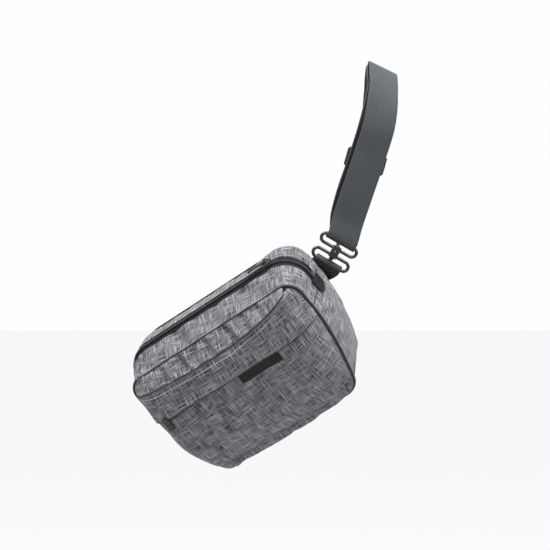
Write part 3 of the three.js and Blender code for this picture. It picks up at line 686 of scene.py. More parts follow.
def tube(name, points, radius, material, sides=10, closed=False, flat=1.0):
    """A round tube through world points in metres, with closed ends or joined in a ring."""
    frames = frames_along(points, closed)
    spots, weave = [], []
    run = 0.0
    for k, (point, (_, normal, side)) in enumerate(zip(points, frames)):
        run += (point - points[k - 1]).length if k else 0.0
        for m in range(sides):
            turn = 2 * math.pi * m / sides
            spots.append(point + (normal * math.cos(turn) + side * math.sin(turn) * flat) * radius)
            weave.append((run, turn * radius, 0))
    faces = grid_faces(sides, len(points), closed=True)
    last = (len(points) - 1) * sides
    if closed:
        shift = min(range(sides), key=lambda m: (spots[m] - spots[last]).length)
        for m in range(sides):
            n = (m + 1) % sides
            faces.append((last + m, last + n, (n + shift) % sides, (m + shift) % sides))
    else:
        faces += end_caps(sides, len(points))
    return add_mesh(name, spots, faces, weave, material)


def resample(points, pitch):
    """Points a pitch apart along a line, in metres."""
    lengths = [0.0]
    for a, b in zip(points, points[1:]):
        lengths.append(lengths[-1] + (b - a).length)
    count = max(2, round(lengths[-1] / pitch) + 1)
    result, k = [], 0
    for step in range(count):
        want = lengths[-1] * step / (count - 1)
        while k < len(points) - 2 and lengths[k + 1] < want:
            k += 1
        span = lengths[k + 1] - lengths[k]
        result.append(points[k].lerp(points[k + 1], clamp((want - lengths[k]) / span) if span else 0))
    return result


def stitches(name, routes, material, thick, pitch=3.4, lift=0.15):
    """Rows of short raised threads. Each route is a list of (point, outward direction)."""
    spots, faces, weave = [], [], []
    sides = 6
    for route in routes:
        points = resample([point for point, _ in route], pitch * MM)
        outs = [out for _, out in route]
        for k, (a, b) in enumerate(zip(points, points[1:])):
            out = outs[min(len(outs) - 1, round(k * len(outs) / len(points)))]
            along = (b - a).normalized()
            side = along.cross(out).normalized()
            for share, fat, rise in ((0.1, 0.25, -0.5), (0.28, 1, 0.3), (0.72, 1, 0.3), (0.9, 0.25, -0.5)):
                centre = a.lerp(b, share) + out * ((lift + rise * thick) * MM)
                for m in range(sides):
                    turn = 2 * math.pi * m / sides
                    spots.append(centre + (out * math.cos(turn) + side * math.sin(turn)) * (thick * fat * MM))
                    weave.append((k * pitch * MM, share, 0))
            faces += grid_faces(sides, 4, closed=True, base=len(spots) - 4 * sides)
    return add_mesh(name, spots, faces, weave, material)


def knot(a, b, spare):
    """The spacing of two points on a centripetal line, or the spare one where they meet."""
    apart = (b - a).length_squared ** 0.25
    return apart if apart > 1e-4 else spare


def curve_point(points, t):
    """A centripetal Catmull-Rom line through vectors, at t from 0 to 1, as the CAD draws it."""
    count = len(points)
    place_on = (count - 1) * t
    k = min(int(place_on), count - 2)
    share = place_on - k
    p1, p2 = points[k], points[k + 1]
    p0 = points[k - 1] if k else p1 * 2 - p2
    p3 = points[k + 2] if k + 2 < count else p2 * 2 - p1
    d1 = knot(p1, p2, 1.0)
    d0 = knot(p0, p1, d1)
    d2 = knot(p2, p3, d1)
    m1 = ((p1 - p0) / d0 - (p2 - p0) / (d0 + d1) + (p2 - p1) / d1) * d1
    m2 = ((p2 - p1) / d1 - (p3 - p1) / (d1 + d2) + (p3 - p2) / d2) * d1
    square = p2 * 3 - p1 * 3 - m1 * 2 - m2
    cube = p1 * 2 - p2 * 2 + m1 + m2
    return p1 + m1 * share + square * share ** 2 + cube * share ** 3


def ribbon(name, stations, wide, thick, steps, material, shade_backing=None):
    """Webbing through world stations in millimetres, each a point and its width's direction; a second material, if
    given, is painted shade on one face.
    """
    points = [point for point, _ in stations]
    widths = [width for _, width in stations]
    count = steps * (len(stations) - 1) + 1
    edge = thick / 2
    reach = wide / 2 - edge
    cells = 12
    section = []
    for sign, turns in ((1, (60, 0, -60)), (-1, (240, 180, 120))):
        section += [(lerp(-reach * sign, reach * sign, k / cells), edge * sign) for k in range(cells + 1)]
        section += [(reach * sign + edge * math.cos(math.radians(turn)), edge * math.sin(math.radians(turn)))
                    for turn in turns]
    spots, weave = [], []
    run, last = 0.0, None
    step = 1e-4
    for k in range(count):
        t = k / (count - 1)
        point = curve_point(points, t)
        ahead, behind = curve_point(points, min(1, t + step)), curve_point(points, max(0, t - step))
        tangent = (ahead - behind).normalized()
        side = curve_point(widths, t).normalized()
        normal = tangent.cross(side).normalized()
        run += (point - last).length if last else 0.0
        last = point
        for x, y in section:
            spots.append((point + side * x + normal * y) * MM)
            weave.append((x * MM, run * MM, 0))
    size = len(section)
    faces = grid_faces(size, count, closed=True) + end_caps(size, count)
    obj = add_mesh(name, spots, faces, weave, material, *([shade_backing] if shade_backing else []))
    # One face of the webbing takes the near-black second material: painted shade on the strap's inner side.
    if shade_backing:
        for number, polygon in enumerate(obj.data.polygons):
            polygon.material_index = int(number % size <= cells + 1)
    face_out(obj, sum(points, Vector()) / len(points) * MM)
    return obj


def soften(node, width, segments, material):
    """Rounds a CAD node's edges and gives it a finish; its own mesh stays as it is."""
    round_edges(frame["nodes"][node], width, segments, 28)
    finish_node(node, material)


def finish_node(node, material):
    obj = frame["nodes"][node]
    if obj.material_slots:
        for material_slot in obj.material_slots:
            material_slot.material = material
    else:
        obj.data.materials.append(material)


def belong(obj, body, material_slot, *nodes):
    """The piece rides on a body and may replace CAD nodes, which it hides; material_slot is not used."""
    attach(obj, body)
    if nodes:
        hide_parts(*nodes)


def belong_lid(obj):
    """Bakes the piece's placing into its mesh; it rides on no body and does not turn with the lid."""
    place(*LID_START)
    place(*LID_STOP)
    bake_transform(obj)


# ---------------------------------------------------------------- outer fabric
OUTER, LINING = MATERIALS["outer"], MATERIALS["lining"]
LID_END = 1.7
SIDE_START = 1.5
SIDE_STOP = 2.9
TOP_REAR = -0.8
ZIP_REAR = ZIP_HALF - ZIP_LINE
ZIP_FRONT = -ZIP_HALF - ZIP_LINE
FRONT_EDGE = -DEPTH + 0.3
BAG_MIDDLE = place(0, -DEPTH / 2, 85)
BACK_MIDDLE = place(0, -30, 85)
FRONT_MIDDLE = place(0, -DEPTH, 80)
LID_ROOT_Z = 149.5
LID_START = (0, -DEPTH, LID_ROOT_Z)  # the lid's root at the front seam
LID_STOP = (0, -DEPTH + 16, LID_ROOT_Z + 27.7)  # and its far corner above it
FABRIC_THICK = 2.0
PANELS = []
PIECES = {}
CORNER_FULL = 8.0  # the right rear corner is filled out this much by what the bag holds
CORNER_S = 0.85


def wall_point(from_s, to_s, rear, front, inset=0.4):
    """A point of the bag's wall; from_s may change with the depth."""
    def point(u, v):
        y = lerp(rear, front, v)
        start = from_s(y) if callable(from_s) else from_s
        s = lerp(start, to_s, u)
        x, z = outline(level_at(y), s, inset)
        full = CORNER_FULL * math.exp(-((s - CORNER_S) / 0.5) ** 2)
        full *= smooth(-y / 8) * smooth((-y - ZIP_LINE) / -20)
        return x + full * 0.8, y, z + full * 0.6
    return point


def fabric(name, point, across, along, nodes, seed, creases, swell=1.2, cap=4.0, slack=0.02, body="bag",
           centre=None, folds=()):
    """One sewn panel: pinned at its seams, creased, swelled by simulation later, then thickened."""
    obj = bag_grid(name, point, across, along, OUTER, LINING)
    face_out(obj, centre or BAG_MIDDLE)
    amount, size, stretch = creases
    wrinkle(obj, across, along, amount, size, stretch, seed, folds)
    cloth(obj, border(across, along), swell, slack, cap)
    PANELS.append((obj, nodes, body))
    PIECES[name] = obj


def build_walls():
    fabric("top_panel", wall_point(-SIDE_START, SIDE_START, TOP_REAR, ZIP_REAR), 76, 11,
           ["rear_top_panel"], 3.1, creases=(0.9, 0.035, (1, 0.35)))
    fabric("lid_fabric", wall_point(-LID_END, LID_END, ZIP_FRONT, FRONT_EDGE), 112, 13,
           ["lid_panel", "right_lid_corner", "left_lid_corner"], 5.7, creases=(1.4, 0.022, (1, 0.25)),
           slack=0.03, body="lid",
           folds=((0.3, 0.016, 1.6, 0.03), (0.38, 0.013, 1.1, -0.02), (0.44, 0.018, 1.8, 0.04),
                  (0.52, 0.014, 1.3, 0.0), (0.6, 0.018, 1.5, 0.03), (0.71, 0.016, 0.9, -0.02)))
    for side, sign, seed in (("right", 1, 8.3), ("left", -1, 11.9)):
        def start(y, sign=sign):
            return sign * lerp(SIDE_START, LID_END, smooth((TOP_REAR - 28 - y) / 8))
        fabric(side + "_end_fabric", wall_point(start, sign * SIDE_STOP, TOP_REAR, FRONT_EDGE), 34, 20,
               [side + "_end_panel"], seed, creases=(1.3, 0.04, (0.5, 1)), swell=1.8, cap=5)
    fabric("base_fabric", wall_point(SIDE_STOP, 8 - SIDE_STOP, TOP_REAR, FRONT_EDGE), 60, 20, ["base_panel"],
           14.2, creases=(1.0, 0.05, (1, 1)), swell=1.0)


def pocket_point(spot, sink=0.0):
    """A point of the front pocket from (x, z, how far it stands forward)."""
    x, z, deep = spot
    return x, -POCKET_FACE - deep + sink, z


def strip_point(u, v):
    x = lerp(-POCKET_HALF + 3, POCKET_RIGHT - 0.5, u)
    high = front_seam(x) - 0.2
    low = min(high - 0.3, upper_seam(x))
    return pocket_point((x, lerp(high, low, v), v * depth_at(x, low)))


def band_point(u, v):
    x = lerp(-POCKET_HALF, POCKET_HALF, u)
    high = min(upper_seam(x), front_seam(x) - 0.6)
    flap = FLAP_Z - 1.6
    z = lerp(high, flap, v)
    tuck = 2.8 * smooth((v - 0.5) / 0.5)
    return pocket_point((x, z, depth_at(x, z) + tuck))


POCKET_SAG = 5.0  # the pocket's lower edge hangs past its seam
FLAP_SIDE = 1.5 + (outline(FRONT, 1.5)[1] - FLAP_Z) / (outline(FRONT, 1.5)[1] - outline(FRONT, 2.5)[1])


def lower_row(v):
    """Half width and height of the lower panel's row at v."""
    s = lerp(FLAP_SIDE, 3.5, v)
    x, z = outline(FRONT, s)
    return x - 0.3, lerp(z, z - 1.7, 1 - v)


def bump(value):
    """A smooth hump from 0 to 1 and back, over 0 to 1."""
    return math.sin(math.pi * clamp(value)) ** 1.2


def lower_panel_point(u, v):
    half, z = lower_row(v)
    side = lerp(-1, 1, u)
    deep = pocket_depth(side, z)
    left = bump((1 + side) / 0.34) * smooth(v * 4)
    under = bump((1 - v) / 0.5) * (1 - side ** 2) ** 0.4
    x = side * half - 5.0 * left
    z -= POCKET_SAG * under
    return pocket_point((x, z, deep + 6 * max(left, under)))


def build_pocket():
    fabric("pocket_strip", strip_point, 104, 11, ["pocket_top_strip"], 21.3,
           creases=(1.2, 0.022, (1, 0.3)), slack=0.03, centre=FRONT_MIDDLE,
           folds=((0.2, 0.02, 1.2, 0.03), (0.33, 0.016, 1.9, 0.03), (0.41, 0.013, 1.2, -0.02),
                  (0.5, 0.018, 1.7, 0.02), (0.64, 0.016, 1.9, 0.04), (0.74, 0.014, 1.3, 0.0),
                  (0.84, 0.014, 1.1, 0.02)))
    fabric("pocket_band", band_point, 66, 12, ["pocket_upper_band"], 24.8,
           creases=(1.0, 0.04, (1, 0.5)), swell=0.8, centre=FRONT_MIDDLE)
    fabric("pocket_front", lower_panel_point, 64, 34, ["pocket_lower_panel"], 27.4,
           creases=(1.2, 0.05, (1, 1)), swell=1.4, centre=FRONT_MIDDLE)


def finish_panels():
    run_cloth()
    for obj, nodes, body in PANELS:
        thicken(obj, FABRIC_THICK, lined=True)
        if body == "lid":
            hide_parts(*nodes)
            belong_lid(obj)
        else:
            belong(obj, body, "outer_fabric", *nodes)


# ---------------------------------------------------------------- seams and stitching
def around(y, first, last, inset, steps=160):
    """World points along the outline at a depth, from s first to last."""
    level = level_at(y)
    points = []
    for k in range(steps + 1):
        x, z = outline(level, lerp(first, last, k / steps), inset)
        points.append(place(x, y, z))
    return points


def cord(name, line, radius, *nodes, closed=False):
    """Piping or seam cord along world points, its radius in millimetres."""
    belong(tube(name, line, radius * MM, MATERIALS["cord"], closed=closed), "bag", "webbing", *nodes)


def build_seams():
    # The front piping is drawn thick, so its dark cord is both the piping and painted shadow of the gap beside the
    # seam.
    cord("front_seam_piping_and_shadow", around(-DEPTH, 0.75, 7.25, -1.0), 1.7, "front_piping")
    cord("lid_seam_cord", around(-DEPTH - 0.2, -0.8, 0.8, -0.2), 0.75)
    cord("rear_seam_piping", around(-0.2, 0, 8, -0.4), 1.1)
    seam, flap = [], []
    steps = 90
    for k in range(steps + 1):
        x = lerp(-POCKET_HALF + 3, POCKET_RIGHT - 1, k / steps)
        z = min(upper_seam(x), front_seam(x) - 0.5)
        seam.append(place(*pocket_point((x, z - 0.1, depth_at(x, z)), -0.5)))
        x, z = lerp(-POCKET_HALF + 2, 84, k / steps), FLAP_Z - 1.9
        flap.append(place(*pocket_point((x, z, depth_at(x, z) + 2.6 * smooth((90 - x) / 30)))))
    cord("pocket_seam_cord", seam, 0.75)
    # A thin near-black cord under the flap's edge is painted shadow of the flap's overhang, drawn as a dark
    # binding.
    cord("flap_edge_shadow_cord", flap, 0.55)
    for name, s, rear in (("right_base", SIDE_STOP, TOP_REAR), ("left_base", -SIDE_STOP, TOP_REAR),
                          ("right_lid_end", LID_END, ZIP_FRONT), ("left_lid_end", -LID_END, ZIP_FRONT)):
        line = []
        for k in range(25):
            y = lerp(rear, FRONT_EDGE, k / 24)
            x, z = outline(level_at(y), s, 0.2)
            line.append(place(x, y, z))
        cord(name + "_seam_cord", line, 0.6)


def surface(obj):
    """A lookup of the point of a finished mesh that a needle coming from outside meets first."""
    tree = BVHTree.FromPolygons([vertex.co for vertex in obj.data.vertices],
                                [polygon.vertices[:] for polygon in obj.data.polygons])

    def nearest(point, away):
        spot, normal, _, _ = tree.ray_cast(point + away * 0.015, -away)
        if spot is None:
            spot, normal, _, _ = tree.find_nearest(point)
        return spot, (normal if normal.dot(away) > 0 else -normal)
    return nearest


def sewn_line(nearest, point, first, last, steps, away):
    """A stitch route on a surface, from a function of one number."""
    return [nearest(place(*point(lerp(first, last, k / steps))), away) for k in range(steps + 1)]


def build_stitching():
    band = surface(PIECES["pocket_band"])
    strip = surface(PIECES["pocket_strip"])
    lid = surface(PIECES["lid_fabric"])
    top = surface(PIECES["top_panel"])

    def below_seam(drop):
        def point(x):
            z = min(upper_seam(x), front_seam(x) - 1) - drop
            return pocket_point((x, z, depth_at(x, z)))
        return point

    def on_strip(share):
        def point(x):
            u = (x + POCKET_HALF - 3) / (POCKET_RIGHT - 0.5 + POCKET_HALF - 3)
            return strip_point(u, share)
        return point

    def over_flap(x):
        return pocket_point((x, FLAP_Z + 1.2, depth_at(x, FLAP_Z) + 1))

    def on_wall(y):
        def point(s):
            x, z = outline(level_at(y), s, -0.4)
            return x, y, z
        return point

    light, grey = MATERIALS["thread"], MATERIALS["grey_thread"]
    row = sewn_line(band, below_seam(7), -112, 88, 90, FORWARD)
    belong(stitches("pocket_topstitch", [row], light, thick=0.36), "bag", "outer_fabric")
    rows = [
        sewn_line(band, below_seam(2), -108, 98, 90, FORWARD),
        sewn_line(strip, on_strip(0.9), -104, 92, 90, FORWARD),
        sewn_line(band, over_flap, -104, 80, 80, FORWARD),
    ]
    belong(stitches("seam_stitching", rows, grey, thick=0.3), "bag", "outer_fabric")
    rows = [
        sewn_line(lid, on_wall(ZIP_FRONT - 1.8), -1.5, 1.5, 120, UPWARD),
        sewn_line(lid, on_wall(-DEPTH + 2.4), -0.6, 0.6, 90, UPWARD),
    ]
    belong_lid(stitches("lid_stitching", rows, grey, thick=0.3))
    row = sewn_line(top, on_wall(ZIP_REAR + 1.8), -1.4, 1.4, 120, UPWARD)
    belong(stitches("top_stitching", [row], grey, thick=0.3), "bag", "outer_fabric")


# ---------------------------------------------------------------- label
def build_label():
    """A blank folded patch, sewn down all round under the flap's edge."""
    nearest = surface(PIECES["pocket_front"])
    across, along = 34, 10
    left, right, high, low = 8, 66, FLAP_Z - 2.2, FLAP_Z - 14.6
    full, rim_full = 0.9, 0.55
    spots = []
    for j in range(along):
        for i in range(across):
            x, z = lerp(left, right, i / (across - 1)), lerp(high, low, j / (along - 1))
            spot, _ = nearest(place(*pocket_point((x, z, depth_at(x, z)))), FORWARD)
            within = min(i, across - 1 - i, 3 * j, 3 * (along - 1 - j)) > 0
            spots.append(spot + FORWARD * ((full if within else rim_full) * MM))
    patch = add_mesh("label", spots, grid_faces(across, along), measured(spots, across, along),
                     MATERIALS["label"])
    face_out(patch, FRONT_MIDDLE)
    thicken(patch, 0.8)
    belong(patch, "bag", "label", "label_patch")
    on_patch = surface(patch)
    inset = 1.6

    def edge(a, b):
        steps = 20
        line = [(lerp(a[0], b[0], k / steps), lerp(a[1], b[1], k / steps)) for k in range(steps + 1)]
        return [on_patch(place(*pocket_point((x, z, POCKET_BULGE))), FORWARD) for x, z in line]

    near_x, far_x = left + inset, right - inset
    near_z, far_z = high - inset, low + inset
    corners = [(near_x, near_z), (far_x, near_z), (far_x, far_z), (near_x, far_z)]
    rows = [edge(a, b) for a, b in zip(corners, corners[1:] + corners[:1])]
    belong(stitches("label_stitching", rows, MATERIALS["black_thread"], pitch=2.4, thick=0.22),
           "bag", "label")


# ---------------------------------------------------------------- zips
TOOTH_WIDE = 0.45
TOOTH_TALL = 0.55


def teeth(name, route, material, length=1.3):
    """Rows of small rounded teeth. Each entry of route is (centre, along, across, out)."""
    spots, faces, weave = [], [], []
    ring = 8
    for number, (centre, along, across, out) in enumerate(route):
        for reach, fat in ((-1, 0.45), (-0.8, 0.95), (0.8, 0.95), (1, 0.45)):
            for m in range(ring):
                turn = 2 * math.pi * (m + 0.5) / ring
                round_it = along * math.cos(turn) * TOOTH_WIDE + out * math.sin(turn) * TOOTH_TALL
                spots.append(centre + across * (reach * length * MM) + round_it * (fat * MM))
                weave.append((number * 0.001, reach * 0.001, 0))
        base = len(spots) - 4 * ring
        faces += grid_faces(ring, 4, closed=True, base=base) + end_caps(ring, 4, base)
    return add_mesh(name, spots, faces, weave, material)


def wall_route(y, first, last, pitch, inset):
    """Evenly spaced places along the wall with their own axes."""
    points = resample(around(y, first, last, inset, 260), pitch * MM)
    route = []
    for k, point in enumerate(points):
        along = (points[min(k + 1, len(points) - 1)] - points[max(k - 1, 0)]).normalized()
        across = BAG_Y.copy()
        out = along.cross(across).normalized()
        route.append((point, along, across, out if out.dot(point - BAG_MIDDLE) > 0 else -out))
    return route


def build_main_zip():
    middle = -ZIP_LINE - 0.2
    tape_half = ZIP_HALF + 1.2
    for name, sign in (("rear", 1), ("front", -1)):
        outer = -ZIP_LINE + sign * tape_half
        tape = bag_grid(name + "_tape", wall_point(-LID_END, LID_END, outer, middle + sign * 0.9, 1.0),
                        110, 5, MATERIALS["tape"])
        face_out(tape, BAG_MIDDLE)
        thicken(tape, 0.9)
        coil = teeth(name + "_coil", wall_route(middle + sign * 0.85, -LID_END, LID_END, 1.25, -0.3),
                     MATERIALS["coil"])
        welt = tube(name + "_zip_welt", around(outer - sign * 1.0, -LID_END, LID_END, 0.1), 0.6 * MM,
                    MATERIALS["tape"], sides=8)
        for obj, nodes in ((tape, [name + "_zip_tape"]), (coil, [name + "_zip_coil"]), (welt, [])):
            if sign > 0:
                belong(obj, "bag", "zip_black", *nodes)
            else:
                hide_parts(*nodes)
                belong_lid(obj)
    for side, sign in (("right", 1), ("left", -1)):
        # The zip ends' covers are real, but their near-black webbing is also painted shade at the zip's ends.
        cover = wall_point(sign * 1.6, sign * 1.84, ZIP_REAR + 2.4, ZIP_FRONT - 2.4, -1.2)
        garage = bag_grid(side + "_zip_garage", cover, 14, 9, MATERIALS["shade_black_webbing"])
        face_out(garage, BAG_MIDDLE)
        wrinkle(garage, 14, 9, 0.3, 0.012, (1, 1), 4.4)
        thicken(garage, 1.1)
        belong(garage, "bag", "zip_black", side + "_zip_end")
        rows = []
        for s in (1.63, 1.81):
            row = wall_point(sign * s, sign * s, ZIP_REAR + 1.5, ZIP_FRONT - 1.5, -1.3)
            rows.append([(place(*row(0, k / 8)), turned(sign, 0, 0.2)) for k in range(9)])
        belong(stitches(side + "_garage_stitching", rows, MATERIALS["black_thread"], pitch=2.2, thick=0.2),
               "bag", "zip_black")


def moulded_pull(name, pivot, along, side, long, wide, thick, material, narrow=0.62):
    """A ribbed moulded pull with a neck at its pivot; along and side are unit directions."""
    up = along.cross(side)
    steps, ring = 56, 16
    spots, weave = [], []
    for k in range(steps + 1):
        t = k / steps
        far = long * t
        tip = math.sqrt(clamp(1 - ((t - 0.93) / 0.07) ** 2)) if t > 0.93 else 1.0
        neck = lerp(narrow, 1, smooth((t - 0.05) / 0.3))
        half = wide / 2 * neck * lerp(0.45, 1, tip)
        ribbed = smooth((t - 0.34) / 0.05) * smooth((0.92 - t) / 0.05)
        rib = 0.5 + 0.5 * math.cos(2 * math.pi * far / 2.2)
        tall = thick / 2 * (1 - 0.34 * ribbed * rib) * lerp(0.5, 1, tip)
        for m in range(ring):
            turn = 2 * math.pi * m / ring
            c, s = math.cos(turn), math.sin(turn)
            x = math.copysign(abs(c) ** 0.45, c) * half
            y = math.copysign(abs(s) ** 0.45, s) * tall
            spots.append(pivot + (along * far + side * x + up * y) * MM)
            weave.append((far * MM, x * MM, 0))
    faces = grid_faces(ring, steps + 1, closed=True) + end_caps(ring, steps + 1)
    obj = add_mesh(name, spots, faces, weave, material)
    face_out(obj, pivot + along * (long / 2 * MM))
    return obj


MAIN_SLIDER_X = 92
MAIN_SLIDER_BACK = 3.2  # it sits this far behind the coil's middle
MAIN_SLIDER_RISE = 3.8
FRONT_SLIDER_X = -97
FRONT_SLIDER_GAP = 1.6
PULL_THICK = 2.1


def bridge(name, spots, steps, radius, flat, body):
    """The wire that holds a slider's pull, through a few world points."""
    line = [curve_point(spots, k / steps) for k in range(steps + 1)]
    belong(tube(name, line, radius * MM, MATERIALS["metal"], flat=flat), body, "black_metal")


def build_sliders():
    plastic = MATERIALS["pull"]
    soften("main_slider", 0.7, 4, MATERIALS["metal"])
    soften("front_slider", 0.6, 4, MATERIALS["metal"])
    height = level_at(-ZIP_LINE)[2] + MAIN_SLIDER_RISE
    seat = -ZIP_LINE + MAIN_SLIDER_BACK
    arch = ((-3.6, -0.6), (-3.4, 1.0), (-2, 2.6), (0, 3.1), (2, 2.6), (3.4, 1.0), (3.6, -0.6))
    bridge("main_slider_bridge", [place(MAIN_SLIDER_X + x, seat, height + z) for x, z in arch],
           24, 0.75, 1.7, "main_slider")
    pull = moulded_pull("main_pull_moulded", place(MAIN_SLIDER_X, seat, height + 1.4), turned(-1, 0, 0),
                        turned(0, 1, 0), 26, 6, PULL_THICK, plastic)
    belong(pull, "main_pull", "pull_plastic", "main_pull")
    front_y = -POCKET_FACE - pocket_depth(0, FLAP_Z) - FRONT_SLIDER_GAP
    arch = ((0.6, 3.0), (2.0, 3.2), (3.0, 2.2), (3.0, 0.6), (2.0, -0.6), (0.6, -1.0))
    bridge("front_slider_bridge", [place(FRONT_SLIDER_X, front_y - y, FLAP_Z + z) for y, z in arch],
           20, 0.6, 1.8, "front_slider")
    pull = moulded_pull("front_pull_moulded", place(FRONT_SLIDER_X, front_y - 2.4, FLAP_Z + 1),
                        turned(0, 0, -1), turned(1, 0, 0), 17, 8, PULL_THICK, plastic, 0.9)
    belong(pull, "front_pull", "pull_plastic", "front_pull")

    def tape_point(u, v):
        x = lerp(-100, 78, u)
        return pocket_point((x, FLAP_Z + lerp(4, -3.4, v), depth_at(x, FLAP_Z) - 2.2))

    tape = bag_grid("front_pocket_tape", tape_point, 60, 4, MATERIALS["tape"])
    face_out(tape, FRONT_MIDDLE)
    thicken(tape, 0.8)
    belong(tape, "bag", "zip_black")
    route = []
    count = 140
    for k in range(count):
        x = lerp(-99, 77, k / (count - 1))
        for shift in (-0.75, 0.75):
            centre = pocket_point((x + shift * 0.4, FLAP_Z + shift, depth_at(x, FLAP_Z) - 1.6))
            route.append((place(*centre), BAG_X.copy(), UPWARD, FORWARD))
    belong(teeth("front_pocket_teeth", route, MATERIALS["coil"], length=0.9), "bag", "zip_black",
           "front_pocket_coil")


# ---------------------------------------------------------------- rings, hooks and webbing
RING_BAR = 5.5
RING_STEP = 19.4
STRAP_BAR = RING_STEP + RING_BAR
BAR_TURN = 3.6
WIRE = 4.0
RING_LONG = 50
RING_TALL = 15
TAB_WIDE = 34
TAB_ROOT = (121.5, 2.6, 120)  # where the right tab is sewn on; the left one mirrors it


def bag_point(x, y, z):
    """A world point in millimetres, from the bag's axes without their skew."""
    return (BAG_ORIGIN + worn(x, y, z)) / MM


def hardware_sets():
    """Each side's rings, in world millimetres, and where the tab is sewn to the bag."""
    return [
        {"side": "right", "middle": Vector((-64, -60.5, -229.8)),
         "along": Vector((0.866, 0, -0.5)).normalized(), "up": Vector((0.5, 0, 0.866)).normalized(),
         "root": bag_point(*TAB_ROOT),
         "root_width": turned(0, 0, -1), "root_out": turned(1, 0, 0)},
        {"side": "left", "middle": bag_point(-108, 13.5, 119), "along": turned(-0.0744, -0.0663, -0.995),
         "up": turned(0.74, 0.66, -0.1), "root": bag_point(-TAB_ROOT[0], *TAB_ROOT[1:]),
         "root_width": turned(0, 0, -1), "root_out": turned(0.6, 1, 0)},
    ]


def round_bar(bar, width, away, out):
    """Stations of webbing round a bar, as in the CAD."""
    places = ((1, 1.3), (1, 0.1), (0.72, -0.7), (0, -1), (-0.72, -0.7), (-1, 0.1), (-1, 1.3))
    return [(bar + out * (across * BAR_TURN) + away * (far * BAR_TURN), width) for across, far in places]


def ring_piece(name, middle, along, up, body, node):
    """A ring of round wire, longer than it is tall."""
    reach, turn_radius = (RING_LONG - RING_TALL) / 2, (RING_TALL - WIRE) / 2
    points = []
    for sign in (1, -1):
        for k in range(24):
            turn = math.pi * (k / 23 - 0.5 * sign)
            x, y = sign * reach + turn_radius * math.cos(turn), turn_radius * math.sin(turn)
            points.append((middle + along * x + up * y) * MM)
    wire = tube(name, points, WIRE / 2 * MM, MATERIALS["metal"], sides=20, closed=True)
    belong(wire, body, "black_metal", node)


def hook_plate(side, middle, along, up):
    """The hook's broad front plate over the two rings' bars, with its rivet."""
    out = along.cross(up)
    profile = ((2.4, 6.0), (5.5, 6.4), (9.7, 6.4), (13.9, 6.4), (17.0, 6.0))
    stations = [(middle + up * y + out * z, along) for y, z in profile]
    plate = ribbon(side + "_hook_plate", stations, 10.5, 3.8, 6, MATERIALS["metal"])
    belong(plate, side + "_hook", "black_metal")
    spot = (middle + up * 9.7 + out * 8.2) * MM
    line = [spot, spot + out * (0.4 * MM), spot + out * (0.8 * MM)]
    rivet = tube(side + "_hook_rivet", line, 1.5 * MM, MATERIALS["metal"], sides=20)
    belong(rivet, side + "_hook", "black_metal")


def box_stitch(name, middle, along, down, out, wide, tall, body):
    """A sewn box with a cross in it, on the face of webbing. Vectors in millimetres."""
    a, b = along * (wide / 2), down * (tall / 2)
    corners = [middle - a - b, middle + a - b, middle + a + b, middle - a + b]
    lines = [(corners[k], corners[(k + 1) % 4]) for k in range(4)]
    lines += [(corners[0], corners[2]), (corners[1], corners[3])]
    rows = [[(start.lerp(end, k / 6) * MM, out) for k in range(7)] for start, end in lines]
    belong(stitches(name, rows, MATERIALS["grey_thread"], pitch=2.8, thick=0.28, lift=0.05), body, "webbing")


def build_hardware():
    for item in hardware_sets():
        side, middle, along, up = item["side"], item["middle"], item["along"], item["up"]
        ring_piece(side + "_tab_wire_ring", middle, along, up, side + "_tab_ring", side + "_tab_ring")
        ring_piece(side + "_strap_wire_ring", middle + up * RING_STEP, along, up, side + "_strap_ring",
                   side + "_strap_ring")
        soften(side + "_hook", 0.7, 4, MATERIALS["metal"])
        soften(side + "_gate", 0.4, 3, MATERIALS["metal"])
        soften(side + "_gate_pin", 0.15, 2, MATERIALS["bright_metal"])
        hook_plate(side, middle, along, up)
        bar = middle - up * RING_BAR
        gap = item["root"] - bar
        to_root = (gap - along * gap.dot(along)).normalized()
        face = to_root.cross(along).normalized()
        apart = item["root_out"].cross(item["root_width"]).normalized() * -1.8
        stations = [(item["root"] + apart, item["root_width"]), *round_bar(bar, along, to_root, face),
                    (item["root"] - apart, item["root_width"])]
        belong(ribbon(side + "_tab_webbing", stations, TAB_WIDE, WEB_THICK, 8, MATERIALS["webbing"]),
               "bag", "webbing", side + "_tab")
        centre = bar.lerp(item["root"], 0.62) + face * 2.9
        down = (item["root"] - bar).normalized()
        box_stitch(side + "_tab_stitching", centre, along, down, face, 26, 5, "bag")


RISE = ((-44, -185, 0.9, -0.42), (-35, -158, 0.93, -0.37), (-18, -108, 0.95, -0.3), (-7, -72, 0.96, -0.28))
FALL = ((-41, 68, -176, 0.6, 0.75, -0.3), (-47, 73, -198, 0.2, 0.97, -0.1), (-55, 78, -219, 0.05, 1, 0),
        (-68, 84, -238, 0.15, 0.97, -0.1), (-92, 88, -252, 0.5, 0.78, -0.37),
        (-130, 92, -280, 0.6, 0.65, -0.45), (-175, 80, -299, 0.6, 0.45, -0.66))
SADDLE_WIDTH = Vector((0.9, 0, -0.44))
SADDLE = 55
LAYERS = 3.6
LAYER_SHIFT = -5
SHIFT_ROOM = 40
CHEST_TOP = Vector((-5, 54.6, -64))
CHEST_LOW = Vector((-26, 60, -136))
ADJUST_AT = 46
RUN_Y = -60  # the front run of the strap, between its two layers
WEB_THICK = 2.0
WEB_WIDE = 38.0


def chest_axes():
    down = (CHEST_LOW - CHEST_TOP).normalized()
    out = SADDLE_WIDTH.cross(down).normalized()
    if out.y < 0:
        out = -out
    width = (SADDLE_WIDTH - down * SADDLE_WIDTH.dot(down)).normalized()
    return down, out, width


def saddle(lift, shift):
    radius = SADDLE + lift
    stations = []
    for step in range(1, 8):
        turn = math.pi * step / 8
        stations.append((Vector((shift + 2 * math.sin(turn) - 2, -radius * math.cos(turn),
                                 -SADDLE - 1 + radius * math.sin(turn))), SADDLE_WIDTH))
    return stations


